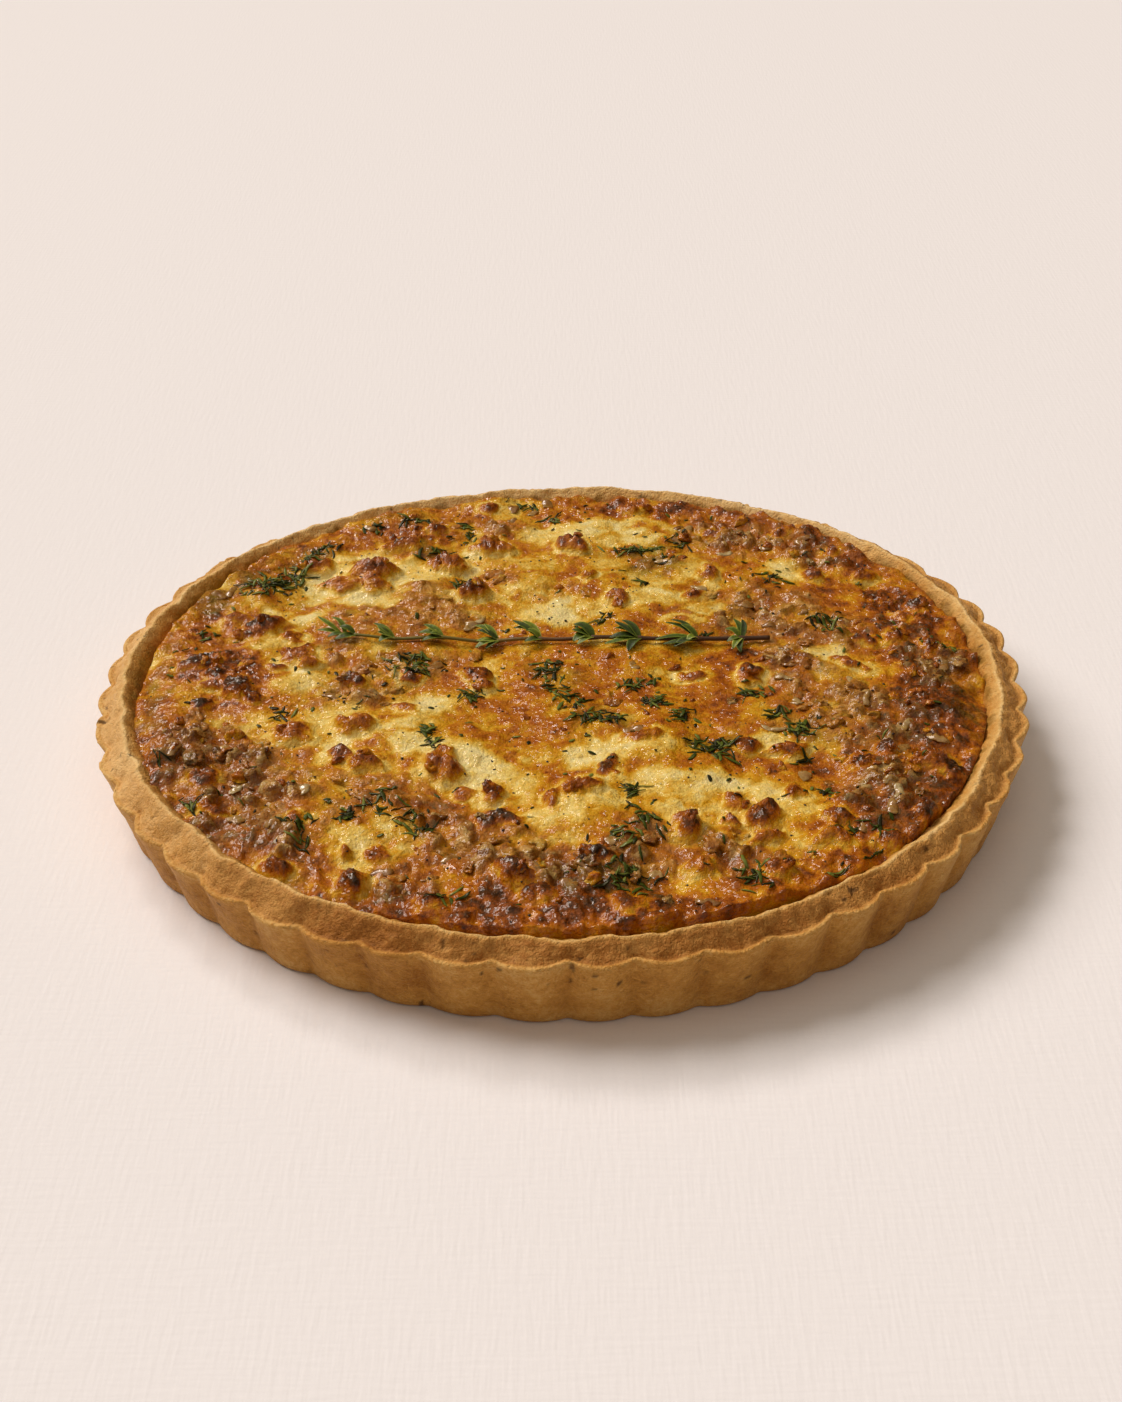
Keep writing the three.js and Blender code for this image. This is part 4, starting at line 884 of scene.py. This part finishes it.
def case_profile(edge, top, lip, lip_top):
    """The case's cross-section, from the middle of the underside, up the wall, over the rim and down inside. A
    row has its radius and height in mm, the depth of its flutes, its shares of the edge's wave and of the lip's
    wave, how much of it is cut face, and how dark it is painted: how baked it is, with a painted highlight along
    the crests of the edge and the lip and painted shade down the inside of the wall."""
    foot = WALL_FOOT
    wall = [
        (foot + (edge - foot) * share, 1.3 + (top - 2.1) * share, 1.85 + 1.15 * share, share**3, 0, 0,
         0.5 - 0.06 * share)
        for share in np.linspace(0.06, 0.96, 22)
    ]
    cut_face = [
        (edge - 1.8 + (lip + 1.5 - edge + 1.8) * share, top - 0.15 + (lip_top - 0.55 - top + 0.15) * share**0.9,
         2.4 * (1 - share) ** 1.5, 0.9 * (1 - share), share, 1, 0.50 - 0.04 * share)
        for share in np.linspace(0.1, 0.9, 9)
    ]
    # The last column is how baked each row is, paler along the crests of the edge and the lip, a painted highlight,
    # and darker down the inside of the wall, a painted shade
    return np.array([
        (60, 0, 0, 0, 0, 0, 0.5), (foot - 3, 0, 0.9, 0, 0, 0, 0.5), (foot - 1.2, 0.05, 1.5, 0, 0, 0, 0.55),
        (foot - 0.4, 0.5, 1.75, 0, 0, 0, 0.55), (foot, 1.3, 1.85, 0, 0, 0, 0.5), *wall,
        (edge, top - 0.45, 3.0, 1, 0, 0.05, 0.44), (edge - 0.12, top - 0.1, 3.0, 1, 0, 0.05, 0.40),
        (edge - 0.45, top + 0.2, 3.0, 1, 0, 0.08, 0.37), (edge - 0.8, top + 0.25, 2.95, 1, 0, 0.15, 0.38),
        (edge - 1.15, top + 0.15, 2.85, 1, 0, 0.4, 0.42), (edge - 1.45, top - 0.05, 2.7, 1, 0, 0.8, 0.48),
        (edge - 1.8, top - 0.15, 2.4, 0.9, 0, 1, 0.50), *cut_face,
        (lip + 1.0, lip_top - 0.55, 0, 0, 1, 0.9, 0.42), (lip + 0.6, lip_top - 0.14, 0, 0, 1, 0.5, 0.26),
        (lip + 0.25, lip_top, 0, 0, 1, 0.2, 0.16), (lip - 0.1, lip_top - 0.03, 0, 0, 1, 0.1, 0.18),
        (lip - 0.45, lip_top - 0.3, 0, 0, 1, 0, 0.28), (lip - 0.9, lip_top - 0.75, 0, 0, 0.95, 0, 0.34),
        (lip - 1.4, lip_top - 1.25, 0, 0, 0.85, 0, 0.36), (lip - 2.0, lip_top - 1.8, 0, 0, 0.7, 0, 0.40),
        (lip - 2.6, lip_top - 2.4, 0, 0, 0.5, 0, 0.46), (lip - 3.3, lip_top - 3.2, 0, 0, 0.3, 0, 0.52),
        (lip - 4.3, lip_top - 5.2, 0, 0, 0, 0, 0.65), (lip - 4.8, lip_top - 8, 0, 0, 0, 0, 0.65),
        (WALL_INSIDE_TOP - 3.7, CRUST_FLOOR, 0, 0, 0, 0, 0.5), (60, CRUST_FLOOR, 0, 0, 0, 0, 0.5),
    ], float)


class QUICHE_OT_pastry(bpy.types.Operator):
    """Make the fluted pastry case"""

    bl_idname = "quiche.pastry"
    bl_label = "Pastry case"

    def execute(self, context):
        settings = context.scene.quiche_pastry
        half, deep = settings.rim_diameter / MM / 2, settings.flute_depth / MM
        top, lip_top = settings.edge_height / MM, settings.lip_height / MM
        edge = half - deep * 0.98  # the tip of an arch stands this much outside the edge's circle
        lip = edge - LIP_INSET
        profile = case_profile(edge, top, lip, lip_top)
        reach, rise, fluting, edge_share, lip_share, cut, bake_tone_and_shade = profile.T[:, :, None]
        fluting = fluting * round(deep / DRAWN_FLUTE, 4)

        steps = settings.flutes * POINTS_PER_FLUTE
        angle = 2 * np.pi * np.arange(steps) / steps
        circle = np.stack([np.cos(angle), np.sin(angle)], -1)
        # Waves round the case are noise on circles of about its radius in mm. Each flute is a soft-cornered
        # arch, with its own depth and a little drift in its place
        drift = 0.07 * noise(circle * 140, 30, 5) * settings.flutes / 48
        phase = angle * settings.flutes / (2 * np.pi) + drift
        arch = 2 / 3 - sum(np.cos(2 * np.pi * n * phase) * 4 / (np.pi * n) ** 2 * 0.96**n for n in range(1, 6))
        arch = arch * (1 + 0.13 * noise(circle * 140, 19, 6))
        edge_wave = 0.45 * noise(circle * 137, 24, 7, 2) + 0.25 * noise(circle * 137, 7, 8, 2)
        # The edge has sagged at the back and, more, at the left front
        edge_wave = edge_wave - 0.9 * smoothstep(0.15, 0.55, circle[:, 1])
        edge_wave = edge_wave - 2.8 * smoothstep(0.45, 1.0, circle @ LEFT_FRONT)
        lip_radial = 0.95 * noise(circle * 132, 11, 9, 2) + 0.3 * noise(circle * 132, 4, 12, 2)
        lip_rise = 0.42 * noise(circle * 132, 14, 10, 2) + 0.16 * noise(circle * 132, 4, 13, 2)
        radius = reach + fluting * arch + lip_share * lip_radial
        height = rise + edge_share * edge_wave + lip_share * lip_rise
        place = np.stack([radius * circle[:, 0], radius * circle[:, 1], height], -1)

        # Flaky cut rim, small chips along the crest and a hand-pressed unevenness of the wall, which is the rows
        # from about 7 to 25
        outside = np.exp(-((np.arange(len(profile)) - 16) / 9.0) ** 4)[:, None]
        crest = np.exp(-((rise - top - 0.1) / 0.5) ** 2) * (reach > edge - 1.3)
        rough = cut * (0.34 * noise(place, 2.2, 15, 3) + 0.24 * ridges(place, 4.5, 16, 2))
        chips = crest * 0.7 * smoothstep(0.35, 0.8, noise(place, 4.0, 17, 2))
        press = outside * (0.30 * noise(place, 9, 18, 2) + 0.12 * noise(place, 2.6, 19, 2))
        inward = smoothstep(lip - 0.5, lip - 3.0, reach) * (rise > 5)
        inner = 0.30 * noise(place, 3.5, 20, 2) + 0.16 * noise(place, 1.6, 24)
        inner = (lip_share > 0.15) * (1 - cut) * inner * (1 + 1.2 * inward)
        radius = np.minimum(radius + press + chips + 0.4 * rough, half + 0.5)
        height = np.maximum(height + 0.9 * rough + inner + 0.3 * chips, 0)
        place = np.stack([*round_place(angle, radius), height], -1)

        # Darker at the front, paler on the rim at the left and all over at the back
        # Painted light and shade of the key light from the back left: the flutes' grooves darker than their arches,
        # the wall and rim darker at the front, which faces away from the light, and the inside of the wall darker at
        # the left, all painted shade; the rim paler at the left and the whole case paler at the back, painted light.
        # The noise is the crust's own uneven browning
        front, left, back = -place[..., 1], -place[..., 0], place[..., 1]
        bake_and_shade = bake_tone_and_shade + 0.10 * noise(place, 22, 25, 2) - 0.10 * (arch - 0.6) * outside
        bake_and_shade = bake_and_shade + 0.10 * outside * smoothstep(30, 120, front) + 0.10 * cut * smoothstep(40, 125, front)
        bake_and_shade = bake_and_shade - 0.28 * cut * smoothstep(50, 125, left) - (0.16 + 0.12 * inward) * smoothstep(40, 110, back)
        bake_and_shade = bake_and_shade + 0.14 * inward * smoothstep(60, 120, left)
        fleck = smoothstep(0.66, 0.74, noise(place, 2.0, 26)) * smoothstep(0.1, 0.5, noise(place, 9, 27))
        # Custard that has crept up the inside of the wall and browned there
        stain = inward * smoothstep(-0.15, 0.45, noise(place, 6, 28, 3) + 0.7 * inward - 0.45)
        bottom, floor = np.array([[*CENTRE_SHIFT, 0.0]]), np.array([[*CENTRE_SHIFT, CRUST_FLOOR]])
        vertices, quads, triangles = shells(place[None], bottom, floor)
        poles = np.zeros(2)
        paint = {
            "bake_and_shade": np.concatenate([bake_and_shade.ravel(), poles + 0.5]),
            "cut": np.concatenate([np.broadcast_to(cut, radius.shape).ravel(), poles]),
            "fleck": np.concatenate([(0.8 * fleck).ravel(), poles]),
            "stain": np.concatenate([stain.ravel(), poles]),
        }
        piece = make_object("fluted_pastry", vertices, quads, triangles, pastry_material(settings), paint)
        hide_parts("pastry_case")
        return {"FINISHED"}


class QUICHE_OT_custard(bpy.types.Operator):
    """Make the baked custard with its rough, browned skin"""

    bl_idname = "quiche.custard"
    bl_label = "Custard"

    def execute(self, context):
        # A square grid pressed into a disc: the larger coordinate gives the radius, the ratio of the two the angle
        count = CUSTARD_GRID
        a, b = np.meshgrid(np.linspace(-1, 1, count), np.linspace(-1, 1, count), indexing="xy")
        wide = np.abs(a) > np.abs(b)
        radius = np.where(wide, a, b)
        with np.errstate(divide="ignore", invalid="ignore"):
            angle = np.where(wide, np.pi / 4 * b / a, np.pi / 2 - np.pi / 4 * a / b)
        angle = np.where((a == 0) & (b == 0), 0, angle)
        reach = WALL_INSIDE_TOP + 0.15  # a little into the wall, so that no gap shows
        x, y = round_place(angle, reach * radius)
        skin = custard_surface(x, y)
        top = np.stack([x, y, skin["height"]], -1).reshape(-1, 3)
        index = np.arange(count * count).reshape(count, count)
        quads = np.stack([index[:-1, :-1], index[:-1, 1:], index[1:, 1:], index[1:, :-1]], -1).reshape(-1, 4)
        border = np.concatenate([index[0, :-1], index[:-1, -1], index[-1, :0:-1], index[:0:-1, 0]])
        # Below its border the custard narrows with the wall, down to just over the crust's floor
        under = top[border] * (0.985, 0.985, 0) + (0, 0, CRUST_FLOOR + 0.4)
        lower = len(top) + np.arange(len(border))
        around = np.roll(np.arange(len(border)), -1)
        side = np.stack([border, lower, lower[around], border[around]], -1)
        centre = len(top) + len(border)
        base = np.stack([lower, np.full(len(border), centre), lower[around]], -1)
        vertices = np.concatenate([top, under, [(0, 0, CRUST_FLOOR + 0.4)]])
        extra = np.zeros(len(border) + 1)
        paint = {key: np.concatenate([skin[key].ravel(), extra]) for key in ("toast", "meat", "green")}
        piece = make_object("browned_custard", vertices, np.concatenate([quads, side]), base,
                            gratin_material(context.scene.quiche_filling), paint)
        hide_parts("filling")
        return {"FINISHED"}


class QUICHE_OT_crags(bpy.types.Operator):
    """Scatter small toasted crags of cheese"""

    bl_idname = "quiche.crags"
    bl_label = "Toasted crags"

    def execute(self, context):
        def weight(px, py):
            skin = custard_surface(px, py)
            free = 1 - sprig_nearness(px, py)
            return free * np.clip(0.10 + 0.9 * skin["brown"] + 0.3 * skin["cover"] - 0.6 * skin["cream"], 0, 1)

        x, y, draw = scatter(context.scene.quiche_filling.crags, 131, weight, 120)
        dark = np.clip(draw.normal(0.57, 0.08, len(x)), 0.3, 0.8)
        lump = np.array([row for row in BROWNED_CHEESE if row[4] >= 3.6], float)
        spot = draw.normal(0, 0.22, (len(lump), 2)) * lump[:, 2:4]
        on_x, on_y = shifted(lump[:, 0], lump[:, 1], spot[:, 0], spot[:, 1], np.radians(lump[:, 5]))
        x = np.concatenate([x, on_x])
        y = np.concatenate([y, on_y])
        dark = np.concatenate([dark, 0.28 + 0.5 * lump[:, 6] + draw.normal(0.0, 0.05, len(lump))])
        length = draw.uniform(2.4, 5.4, len(x))
        width = length * draw.uniform(0.5, 0.95, len(x))
        height = length * draw.uniform(0.28, 0.46, len(x))
        rows, columns = 11, 18
        vertices, quads, triangles = lumps(
            x, y, length, width, height, draw.uniform(0, 180, len(x)), rows, columns, 141, 0.34, 0.55, 0.3)
        height = vertices[:, 2].reshape(len(x), -1)
        share = (height - height.min(1, keepdims=True)) / np.ptp(height, axis=1)[:, None]
        toast = spread(dark, rows, columns) + 0.14 * noise(vertices, 2.2, 151, 2) + 0.30 * share.ravel() ** 2 - 0.20
        zero = np.zeros(len(vertices))
        make_object("toasted_crags", vertices, quads, triangles, bpy.data.materials[GRATIN],
                    {"toast": np.clip(toast, 0, 1), "meat": zero, "green": zero})
        return {"FINISHED"}


class QUICHE_OT_sausage(bpy.types.Operator):
    """Scatter crumbled sausage where it shows"""

    bl_idname = "quiche.sausage"
    bl_label = "Sausage crumbs"

    def execute(self, context):
        def weight(px, py):
            skin = custard_surface(px, py)
            free = 1 - 0.9 * sprig_nearness(px, py)
            return free * np.clip(0.04 + 1.0 * skin["sausage"] - 0.5 * skin["cream"], 0, 1)

        x, y, draw = scatter(context.scene.quiche_filling.sausage, 201, weight)
        length = draw.uniform(3.2, 8.0, len(x))
        width = length * draw.uniform(0.5, 0.9, len(x))
        height = (0.6 + 0.12 * length) * draw.uniform(0.7, 1.15, len(x)) * (1 - 0.6 * sprig_nearness(x, y))
        rows, columns = 13, 22
        vertices, quads, triangles = lumps(
            x, y, length, width, height, draw.uniform(0, 180, len(x)), rows, columns, 211, 0.40, 0.55, 0.15)
        skin = custard_surface(x, y)
        toast = spread(skin["toast"] + 0.05 * draw.normal(0, 1, len(x)), rows, columns)
        toast = toast + 0.12 * noise(vertices, 2.4, 221, 2)
        meat = spread(draw.uniform(0.35, 1.0, len(x)), rows, columns)
        make_object("sausage_crumbs", vertices, quads, triangles, bpy.data.materials[GRATIN],
                    {"toast": np.clip(toast, 0, 1), "meat": meat, "green": 0 * meat})
        return {"FINISHED"}


class QUICHE_OT_onion(bpy.types.Operator):
    """Scatter curved pieces of softened onion"""

    bl_idname = "quiche.onion"
    bl_label = "Onion pieces"

    def execute(self, context):
        def weight(px, py):
            skin = custard_surface(px, py)
            outer = smoothstep(95, 118, nominal_radius(px, py))
            free = 1 - sprig_nearness(px, py)
            return free * np.clip(0.05 + 0.5 * skin["sausage"] + 0.5 * outer - skin["cream"], 0, 1)

        x, y, draw = scatter(context.scene.quiche_filling.onion, 301, weight, 121)
        count, rows, sides = len(x), 10, 12
        length = draw.uniform(3.6, 7.5, count)[:, None]
        heading = draw.uniform(0, 2 * np.pi, count)[:, None]
        curl = draw.uniform(-0.5, 0.5, count)[:, None]
        t = np.linspace(-0.5, 0.5, rows)[None]
        bend = curl * length * (1 - 4 * t**2) * 0.5
        px, py = drawn_in(*shifted(x[:, None], y[:, None], length * t, bend, heading), 124)
        ground = custard_surface(px, py)["height"]
        pz = 0.5 * ground + 0.5 * ground.mean(1)[:, None] + 0.15
        ends = np.sqrt(np.clip(1.02 - (2 * t) ** 4, 0.03, 1)) * (1 + 0.5 * draw.uniform(-1, 1, count)[:, None] * t)
        half_width = draw.uniform(1.0, 2.0, count)[:, None] * ends
        vertices, quads, triangles = swept(np.stack([px, py, pz], -1), half_width, 0.42 * ends, sides, -0.12)
        vertices = vertices + 0.45 * np.stack([noise(vertices, 2.2, s, 3) for s in (311, 312, 313)], -1)
        tint = spread(draw.random(count), rows, sides)
        make_object("onion_pieces", vertices, quads, triangles, onion_material(), {"tint": tint})
        return {"FINISHED"}


class QUICHE_OT_herbs(bpy.types.Operator):
    """Scatter chopped dill and thyme in tufts and as loose flecks"""

    bl_idname = "quiche.herbs"
    bl_label = "Chopped herbs"

    def execute(self, context):
        draw = np.random.default_rng(401)
        x, y, heading, length = [], [], [], []
        for px, py, half_length, half_width, turn, count in HERB_TUFTS:
            count = round(HERB_SHARE * count)
            a, b = np.clip(draw.normal(0, 0.5, (2, count)), -1.1, 1.1)
            strip_x, strip_y = shifted(px, py, a * half_length, b * half_width, np.radians(turn))
            x.append(strip_x)
            y.append(strip_y)
            heading.append(draw.uniform(0, 2 * np.pi, count))
            length.append(draw.uniform(1.8, 6.0, count))

        def weight(fx, fy):
            cluster = smoothstep(-0.1, 0.5, noise(np.stack([fx, fy], -1), 30, 411))
            return (1 - sprig_nearness(fx, fy)) * (0.35 + 0.65 * cluster)

        fx, fy, more = scatter(context.scene.quiche_filling.flecks, 421, weight, 120)
        x = np.concatenate([*x, fx])
        y = np.concatenate([*y, fy])
        heading = np.concatenate([*heading, more.uniform(0, 2 * np.pi, len(fx))])[:, None]
        length = np.concatenate([*length, more.uniform(0.8, 2.8, len(fx))])[:, None]
        count, rows, sides = len(x), 6, 6
        t = np.linspace(0, 1, rows)[None]
        curl = draw.uniform(-0.9, 0.9, count)[:, None]
        turn = heading + curl * t
        step = length / (rows - 1)
        px = x[:, None] + np.cumsum(step * np.cos(turn), 1) - length * np.cos(heading) / 2
        py = y[:, None] + np.cumsum(step * np.sin(turn), 1) - length * np.sin(heading) / 2
        px, py = drawn_in(px, py, 125)
        ground = custard_surface(px, py)["height"]
        lift = draw.uniform(-0.05, 0.35, count)[:, None]
        lift = lift + draw.uniform(-0.3, 0.6, count)[:, None] * t * np.minimum(1, length / 4)
        half_width = draw.uniform(0.2, 0.62, count)[:, None] * np.sqrt(np.clip(4 * t * (1 - t) + 0.06, 0, 1))
        vertices, quads, triangles = swept(np.stack([px, py, ground + lift], -1), half_width, 0.16, sides, 0.3)
        tint = spread(draw.random(count), rows, sides)
        make_object("chopped_herbs", vertices, quads, triangles, herb_material(), {"tint": tint})
        return {"FINISHED"}


class QUICHE_OT_pepper(bpy.types.Operator):
    """Scatter cracked black pepper"""

    bl_idname = "quiche.pepper"
    bl_label = "Pepper specks"

    def execute(self, context):
        x, y, draw = scatter(context.scene.quiche_filling.pepper, 501, lambda px, py: 1 - sprig_nearness(px, py))
        length = draw.uniform(0.5, 1.15, len(x))
        vertices, quads, triangles = lumps(
            x, y, length, length * 0.8, length * 0.3, draw.uniform(0, 180, len(x)), 3, 6, 511, 0.4, 0.3)
        make_object("pepper_specks", vertices, quads, triangles, pepper_material())
        return {"FINISHED"}


class QUICHE_OT_thyme(bpy.types.Operator):
    """Lay the sprig of thyme across the filling"""

    bl_idname = "quiche.thyme"
    bl_label = "Thyme sprig"

    def execute(self, context):
        settings = context.scene.quiche_thyme
        draw = np.random.default_rng(601)
        # The stem lies on the custard's high spots
        route = smooth_route(SPRIG_ROUTE, 140)
        rise = baked_height(*route.T) + STEM_LIFT + 0.25 * noise(route, 16, 611)
        centres = np.concatenate([route, rise[:, None]], 1)
        along = np.linspace(0, 1, len(route))
        radius = (settings.tip_radius + (settings.cut_radius - settings.tip_radius) * along) / MM
        for x in STEM_KNOTS:
            radius = radius * (1 + 0.35 * np.exp(-((route[:, 0] - x) / 1.0) ** 2))
        vertices, quads, triangles = swept(centres[None], radius[None], radius[None], 10)
        tint = spread(smoothstep(0.25, 0.85, along)[None], len(route), 10)
        stem = make_object("thyme_stem", vertices, quads, triangles, thyme_stem_material(), {"tint": tint})
        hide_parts("thyme_sprig")

        # Leaves in pairs and fans towards the tip, each arching over and curled along its middle
        leaf = np.array(THYME_LEAVES)
        start = np.stack([np.interp(leaf[:, 0], route[:, 0], centres[:, k]) for k in range(3)], -1)[:, None]
        rows, sides = 14, 12
        t = np.linspace(0, 1, rows)[None]
        bow = draw.uniform(-0.12, 0.12, (len(leaf), 1)) * np.sin(np.pi * t)
        px = start[..., 0] + leaf[:, 1, None] * t - leaf[:, 2, None] * bow
        py = start[..., 1] + leaf[:, 2, None] * t + leaf[:, 1, None] * bow
        arch = draw.uniform(0.5, 1.1, (len(leaf), 1)) * np.sin(np.pi * t)
        pz = start[..., 2] + leaf[:, 3, None] * t + arch
        pz = np.maximum(pz, baked_height(px, py) + 1.0 + 0.4 * arch)
        outline = np.sin(np.pi * np.clip(0.06 + 0.92 * t**0.85, 0, 1)) ** 0.7
        # The listed widths are across the curled leaf, and it is a fifth wider laid flat
        half_width = np.maximum(leaf[:, 4, None] / 1.65 * outline, 0.2)
        vertices, quads, triangles = swept(np.stack([px, py, pz], -1), half_width, 0.14, sides, 0.35)
        margin = np.abs(np.cos(2 * np.pi * np.arange(sides) / sides))[None, None]
        shade = draw.uniform(0.0, 0.45, (len(leaf), 1, 1)) + 0.5 * margin**4 + 0.2 * (1 - t[..., None]) ** 2
        shade = np.concatenate([shade.reshape(len(leaf), -1), shade[:, 0, :1], shade[:, -1, :1]], 1).ravel()
        make_object("thyme_leaves", vertices, quads, triangles, thyme_leaf_material(), {"tint": shade})
        return {"FINISHED"}


class QUICHE_OT_stage(bpy.types.Operator):
    """Set the floor, the lights and the camera"""

    bl_idname = "quiche.stage"
    bl_label = "Stage"

    def execute(self, context):
        settings = context.scene.quiche_stage
        mesh = bpy.data.meshes.new("floor")
        corners = [(-1, -1, 0), (1, -1, 0), (1, 1, 0), (-1, 1, 0)]
        mesh.from_pydata((TABLE_REACH * np.array(corners)).tolist(), [], [(0, 1, 2, 3)])
        mesh.materials.append(cloth_material(settings))
        floor = bpy.data.objects.new("floor", mesh)
        context.collection.objects.link(floor)

        # A studio room: bright overhead, dim at the level of the table
        world = bpy.data.worlds.new("room")
        context.scene.world = world
        world.use_nodes = True
        tree = world.node_tree
        way = add_node(tree, "ShaderNodeTexCoord").outputs["Generated"]
        rise = add_node(tree, "ShaderNodeSeparateXYZ", {0: way}).outputs["Z"]
        glow = ramp(tree, rise, [(0.0, "#463522"), (0.6, "#4c3b28"), (0.84, "#d8c6ac"), (1.0, "#fff0dc")])
        tree.links.new(glow, tree.nodes["Background"].inputs["Color"])
        tree.nodes["Background"].inputs["Strength"].default_value = settings.fill
        # Three soft suns: the direction that each shines from, its width in degrees, and its power
        for name, place, angle, power in [
            ("key", (-0.75, 0.42, 0.85), 34, settings.key_power),
            ("window", (-0.45, 0.85, 0.85), 13, settings.key_power * 0.32),
            ("bounce", (0.1, -1.0, 0.45), 70, settings.key_power * 0.14),
        ]:
            lamp = bpy.data.lights.new(name, "SUN")
            lamp.angle = np.radians(angle)
            lamp.energy = power
            lamp.color = linear("#fff4ea")[:3]
            light = bpy.data.objects.new(name, lamp)
            light.rotation_mode = "QUATERNION"
            light.rotation_quaternion = Vector(place).to_track_quat("Z", "Y")
            context.collection.objects.link(light)

        lens = bpy.data.cameras.new("camera")
        lens.lens = settings.focal_length
        lens.sensor_width = SENSOR_WIDTH
        lens.clip_start = 0.01
        camera = bpy.data.objects.new("camera", lens)
        camera.location = CAMERA_PLACE
        camera.rotation_euler = (np.radians(90 - CAMERA_DIP), 0, 0)
        context.collection.objects.link(camera)
        context.scene.camera = camera
        context.scene.view_settings.view_transform = "Standard"
        return {"FINISHED"}


class QUICHE_PT_panel(bpy.types.Panel):
    """Lists the pieces of the quiche with their settings"""

    bl_idname = "QUICHE_PT_panel"
    bl_label = "Quiche"
    bl_space_type = "VIEW_3D"
    bl_region_type = "UI"
    bl_category = "Quiche"

    def draw(self, context):
        for name in SETTINGS:
            group = getattr(context.scene, name)
            box = self.layout.box()
            for key in group.__annotations__:
                box.prop(group, key)
        for operator in OPERATORS:
            self.layout.operator(operator.bl_idname)


SETTINGS = {
    "quiche_pastry": QuichePastrySettings,
    "quiche_filling": QuicheFillingSettings,
    "quiche_thyme": QuicheThymeSettings,
    "quiche_stage": QuicheStageSettings,
}
OPERATORS = [
    QUICHE_OT_pastry, QUICHE_OT_custard, QUICHE_OT_crags, QUICHE_OT_sausage, QUICHE_OT_onion,
    QUICHE_OT_herbs, QUICHE_OT_pepper, QUICHE_OT_thyme, QUICHE_OT_stage,
]


def register():
    """Register the settings, the operators and the panel."""
    for name, group in SETTINGS.items():
        bpy.utils.register_class(group)
        setattr(bpy.types.Scene, name, bpy.props.PointerProperty(type=group))
    for operator in OPERATORS:
        bpy.utils.register_class(operator)
    bpy.utils.register_class(QUICHE_PT_panel)


def unregister():
    """Take away what register added, in the opposite order."""
    bpy.utils.unregister_class(QUICHE_PT_panel)
    for operator in reversed(OPERATORS):
        bpy.utils.unregister_class(operator)
    for name, group in SETTINGS.items():
        delattr(bpy.types.Scene, name)
        bpy.utils.unregister_class(group)


def main():
    register()
    bpy.ops.quiche.stage()
    bpy.ops.quiche.pastry()
    bpy.ops.quiche.custard()
    bpy.ops.quiche.crags()
    bpy.ops.quiche.sausage()
    bpy.ops.quiche.onion()
    bpy.ops.quiche.herbs()
    bpy.ops.quiche.pepper()
    bpy.ops.quiche.thyme()


if __name__ == "__main__":
    main()
